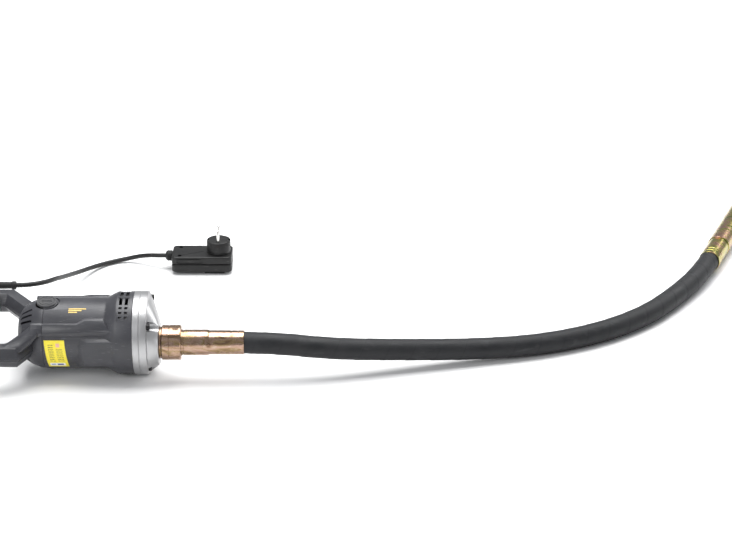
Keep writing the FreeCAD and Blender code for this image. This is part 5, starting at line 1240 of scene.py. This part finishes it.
def springs():
    """Each spring is wound to its full length and stands on its fixed end, by its brush, button or trigger."""
    along_y = Matrix.Rotation(math.radians(-90), 4, "X")
    # name, node, joint, radius, wire, length, turns, free end, direction, share kept, place
    rows = (
        ("upper_brush_spring", "brush_springs", "upper_brush_slide", 3.4, 0.5, 5.6, 4, (BRUSH_X, 0, 36.2),
         Matrix.Identity(4), 0.44, ON_UNIT),
        ("lower_brush_spring", "brush_springs", "lower_brush_slide", 3.4, 0.5, 5.6, 4, (BRUSH_X, 0, -36.2),
         FLIP_Z, 0.44, ON_UNIT),
        ("test_button_spring", "button_springs", "test_button_press", 3.0, 0.4, 4.4, 4, (77.5, 343.0, 8.4),
         Matrix.Identity(4), 0.70, ON_FLOOR),
        ("reset_button_spring", "button_springs", "reset_button_press", 3.0, 0.4, 4.4, 4, (77.5, 362.0, 8.4),
         Matrix.Identity(4), 0.70, ON_FLOOR),
        ("trigger_return_spring", "trigger_spring", "trigger_press", 2.6, 0.4, 11.0, 7, (-275.5, 78.8, 0),
         along_y, 0.50, ON_UNIT),
    )
    made = []
    for name, node, joint, radius, wire, length, turns, end, direction, keep, place in rows:
        stand = Matrix.Translation(end) @ direction
        spring = move(coil_spring(name, radius, wire, length, turns), stand)
        piece = settled(spring, name, place, "power_unit", bright_steel, [node])
        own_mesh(piece)
        made.append(piece)
    return made


# ---- Stage -----------------------------------------------------------------------------------------------------
def stage():
    bpy.ops.object.select_all(action="DESELECT")
    bpy.ops.mesh.primitive_plane_add(size=14.0, location=(0.3, 2.0, -0.0004))
    floor = bpy.context.object
    floor.name = "pale_floor"
    paper = Finish("pale_paper", rough=0.9)
    tone = paper.noise(paper.place(), 6.0, 2.0)
    paper.colour(paper.ramp(tone, (0.3, grey(0.86)), (0.7, grey(0.88))))
    floor.data.materials.append(paper.material)
    world = bpy.data.worlds.new("studio")
    world.use_nodes = True
    world.node_tree.nodes["Background"].inputs[0].default_value = (0.95, 0.97, 1.0, 1)
    world.node_tree.nodes["Background"].inputs[1].default_value = 0.42
    bpy.context.scene.world = world
    lamps = (
        ("overhead", (0.2, 0.7, 2.6), 2.2, 118.0), ("front_left", (-1.6, -2.2, 1.7), 1.4, 34.0),
        ("right_back", (2.2, 1.6, 1.6), 1.2, 26.0),
    )
    target = Vector((0.3, 0.1, 0.05))
    for name, place, size, power in lamps:
        light = bpy.data.lights.new(name, "AREA")
        light.size = size
        light.energy = power
        lamp = bpy.data.objects.new(name, light)
        lamp.location = place
        lamp.rotation_euler = (target - Vector(place)).to_track_quat("-Z", "Y").to_euler()
        bpy.context.collection.objects.link(lamp)
    lens = bpy.data.cameras.new("camera")
    lens.lens = 107.2
    lens.sensor_width = 36.0
    lens.clip_end = 60.0
    camera = bpy.data.objects.new("camera", lens)
    camera.location = (0.312, -2.7535, 1.3718)
    camera.rotation_euler = (math.radians(66.0), 0, 0)
    bpy.context.collection.objects.link(camera)
    bpy.context.scene.camera = camera
    bpy.context.scene.view_settings.view_transform = "Standard"


stage()
wrapped_hose()
dress_inner_pieces()
motor_barrel()
brush_caps()
rating_plate()
accent_strip()
rear_casings()
casing_screws()
trigger_paddle()
sleeve_piece()
gear_case()
case_screws()
coupling()
poker_head()
plug_pieces = plug_shells() + plug_fittings()
plug_springs = [piece for piece in springs() if "button" in piece.name]
mains_cord()
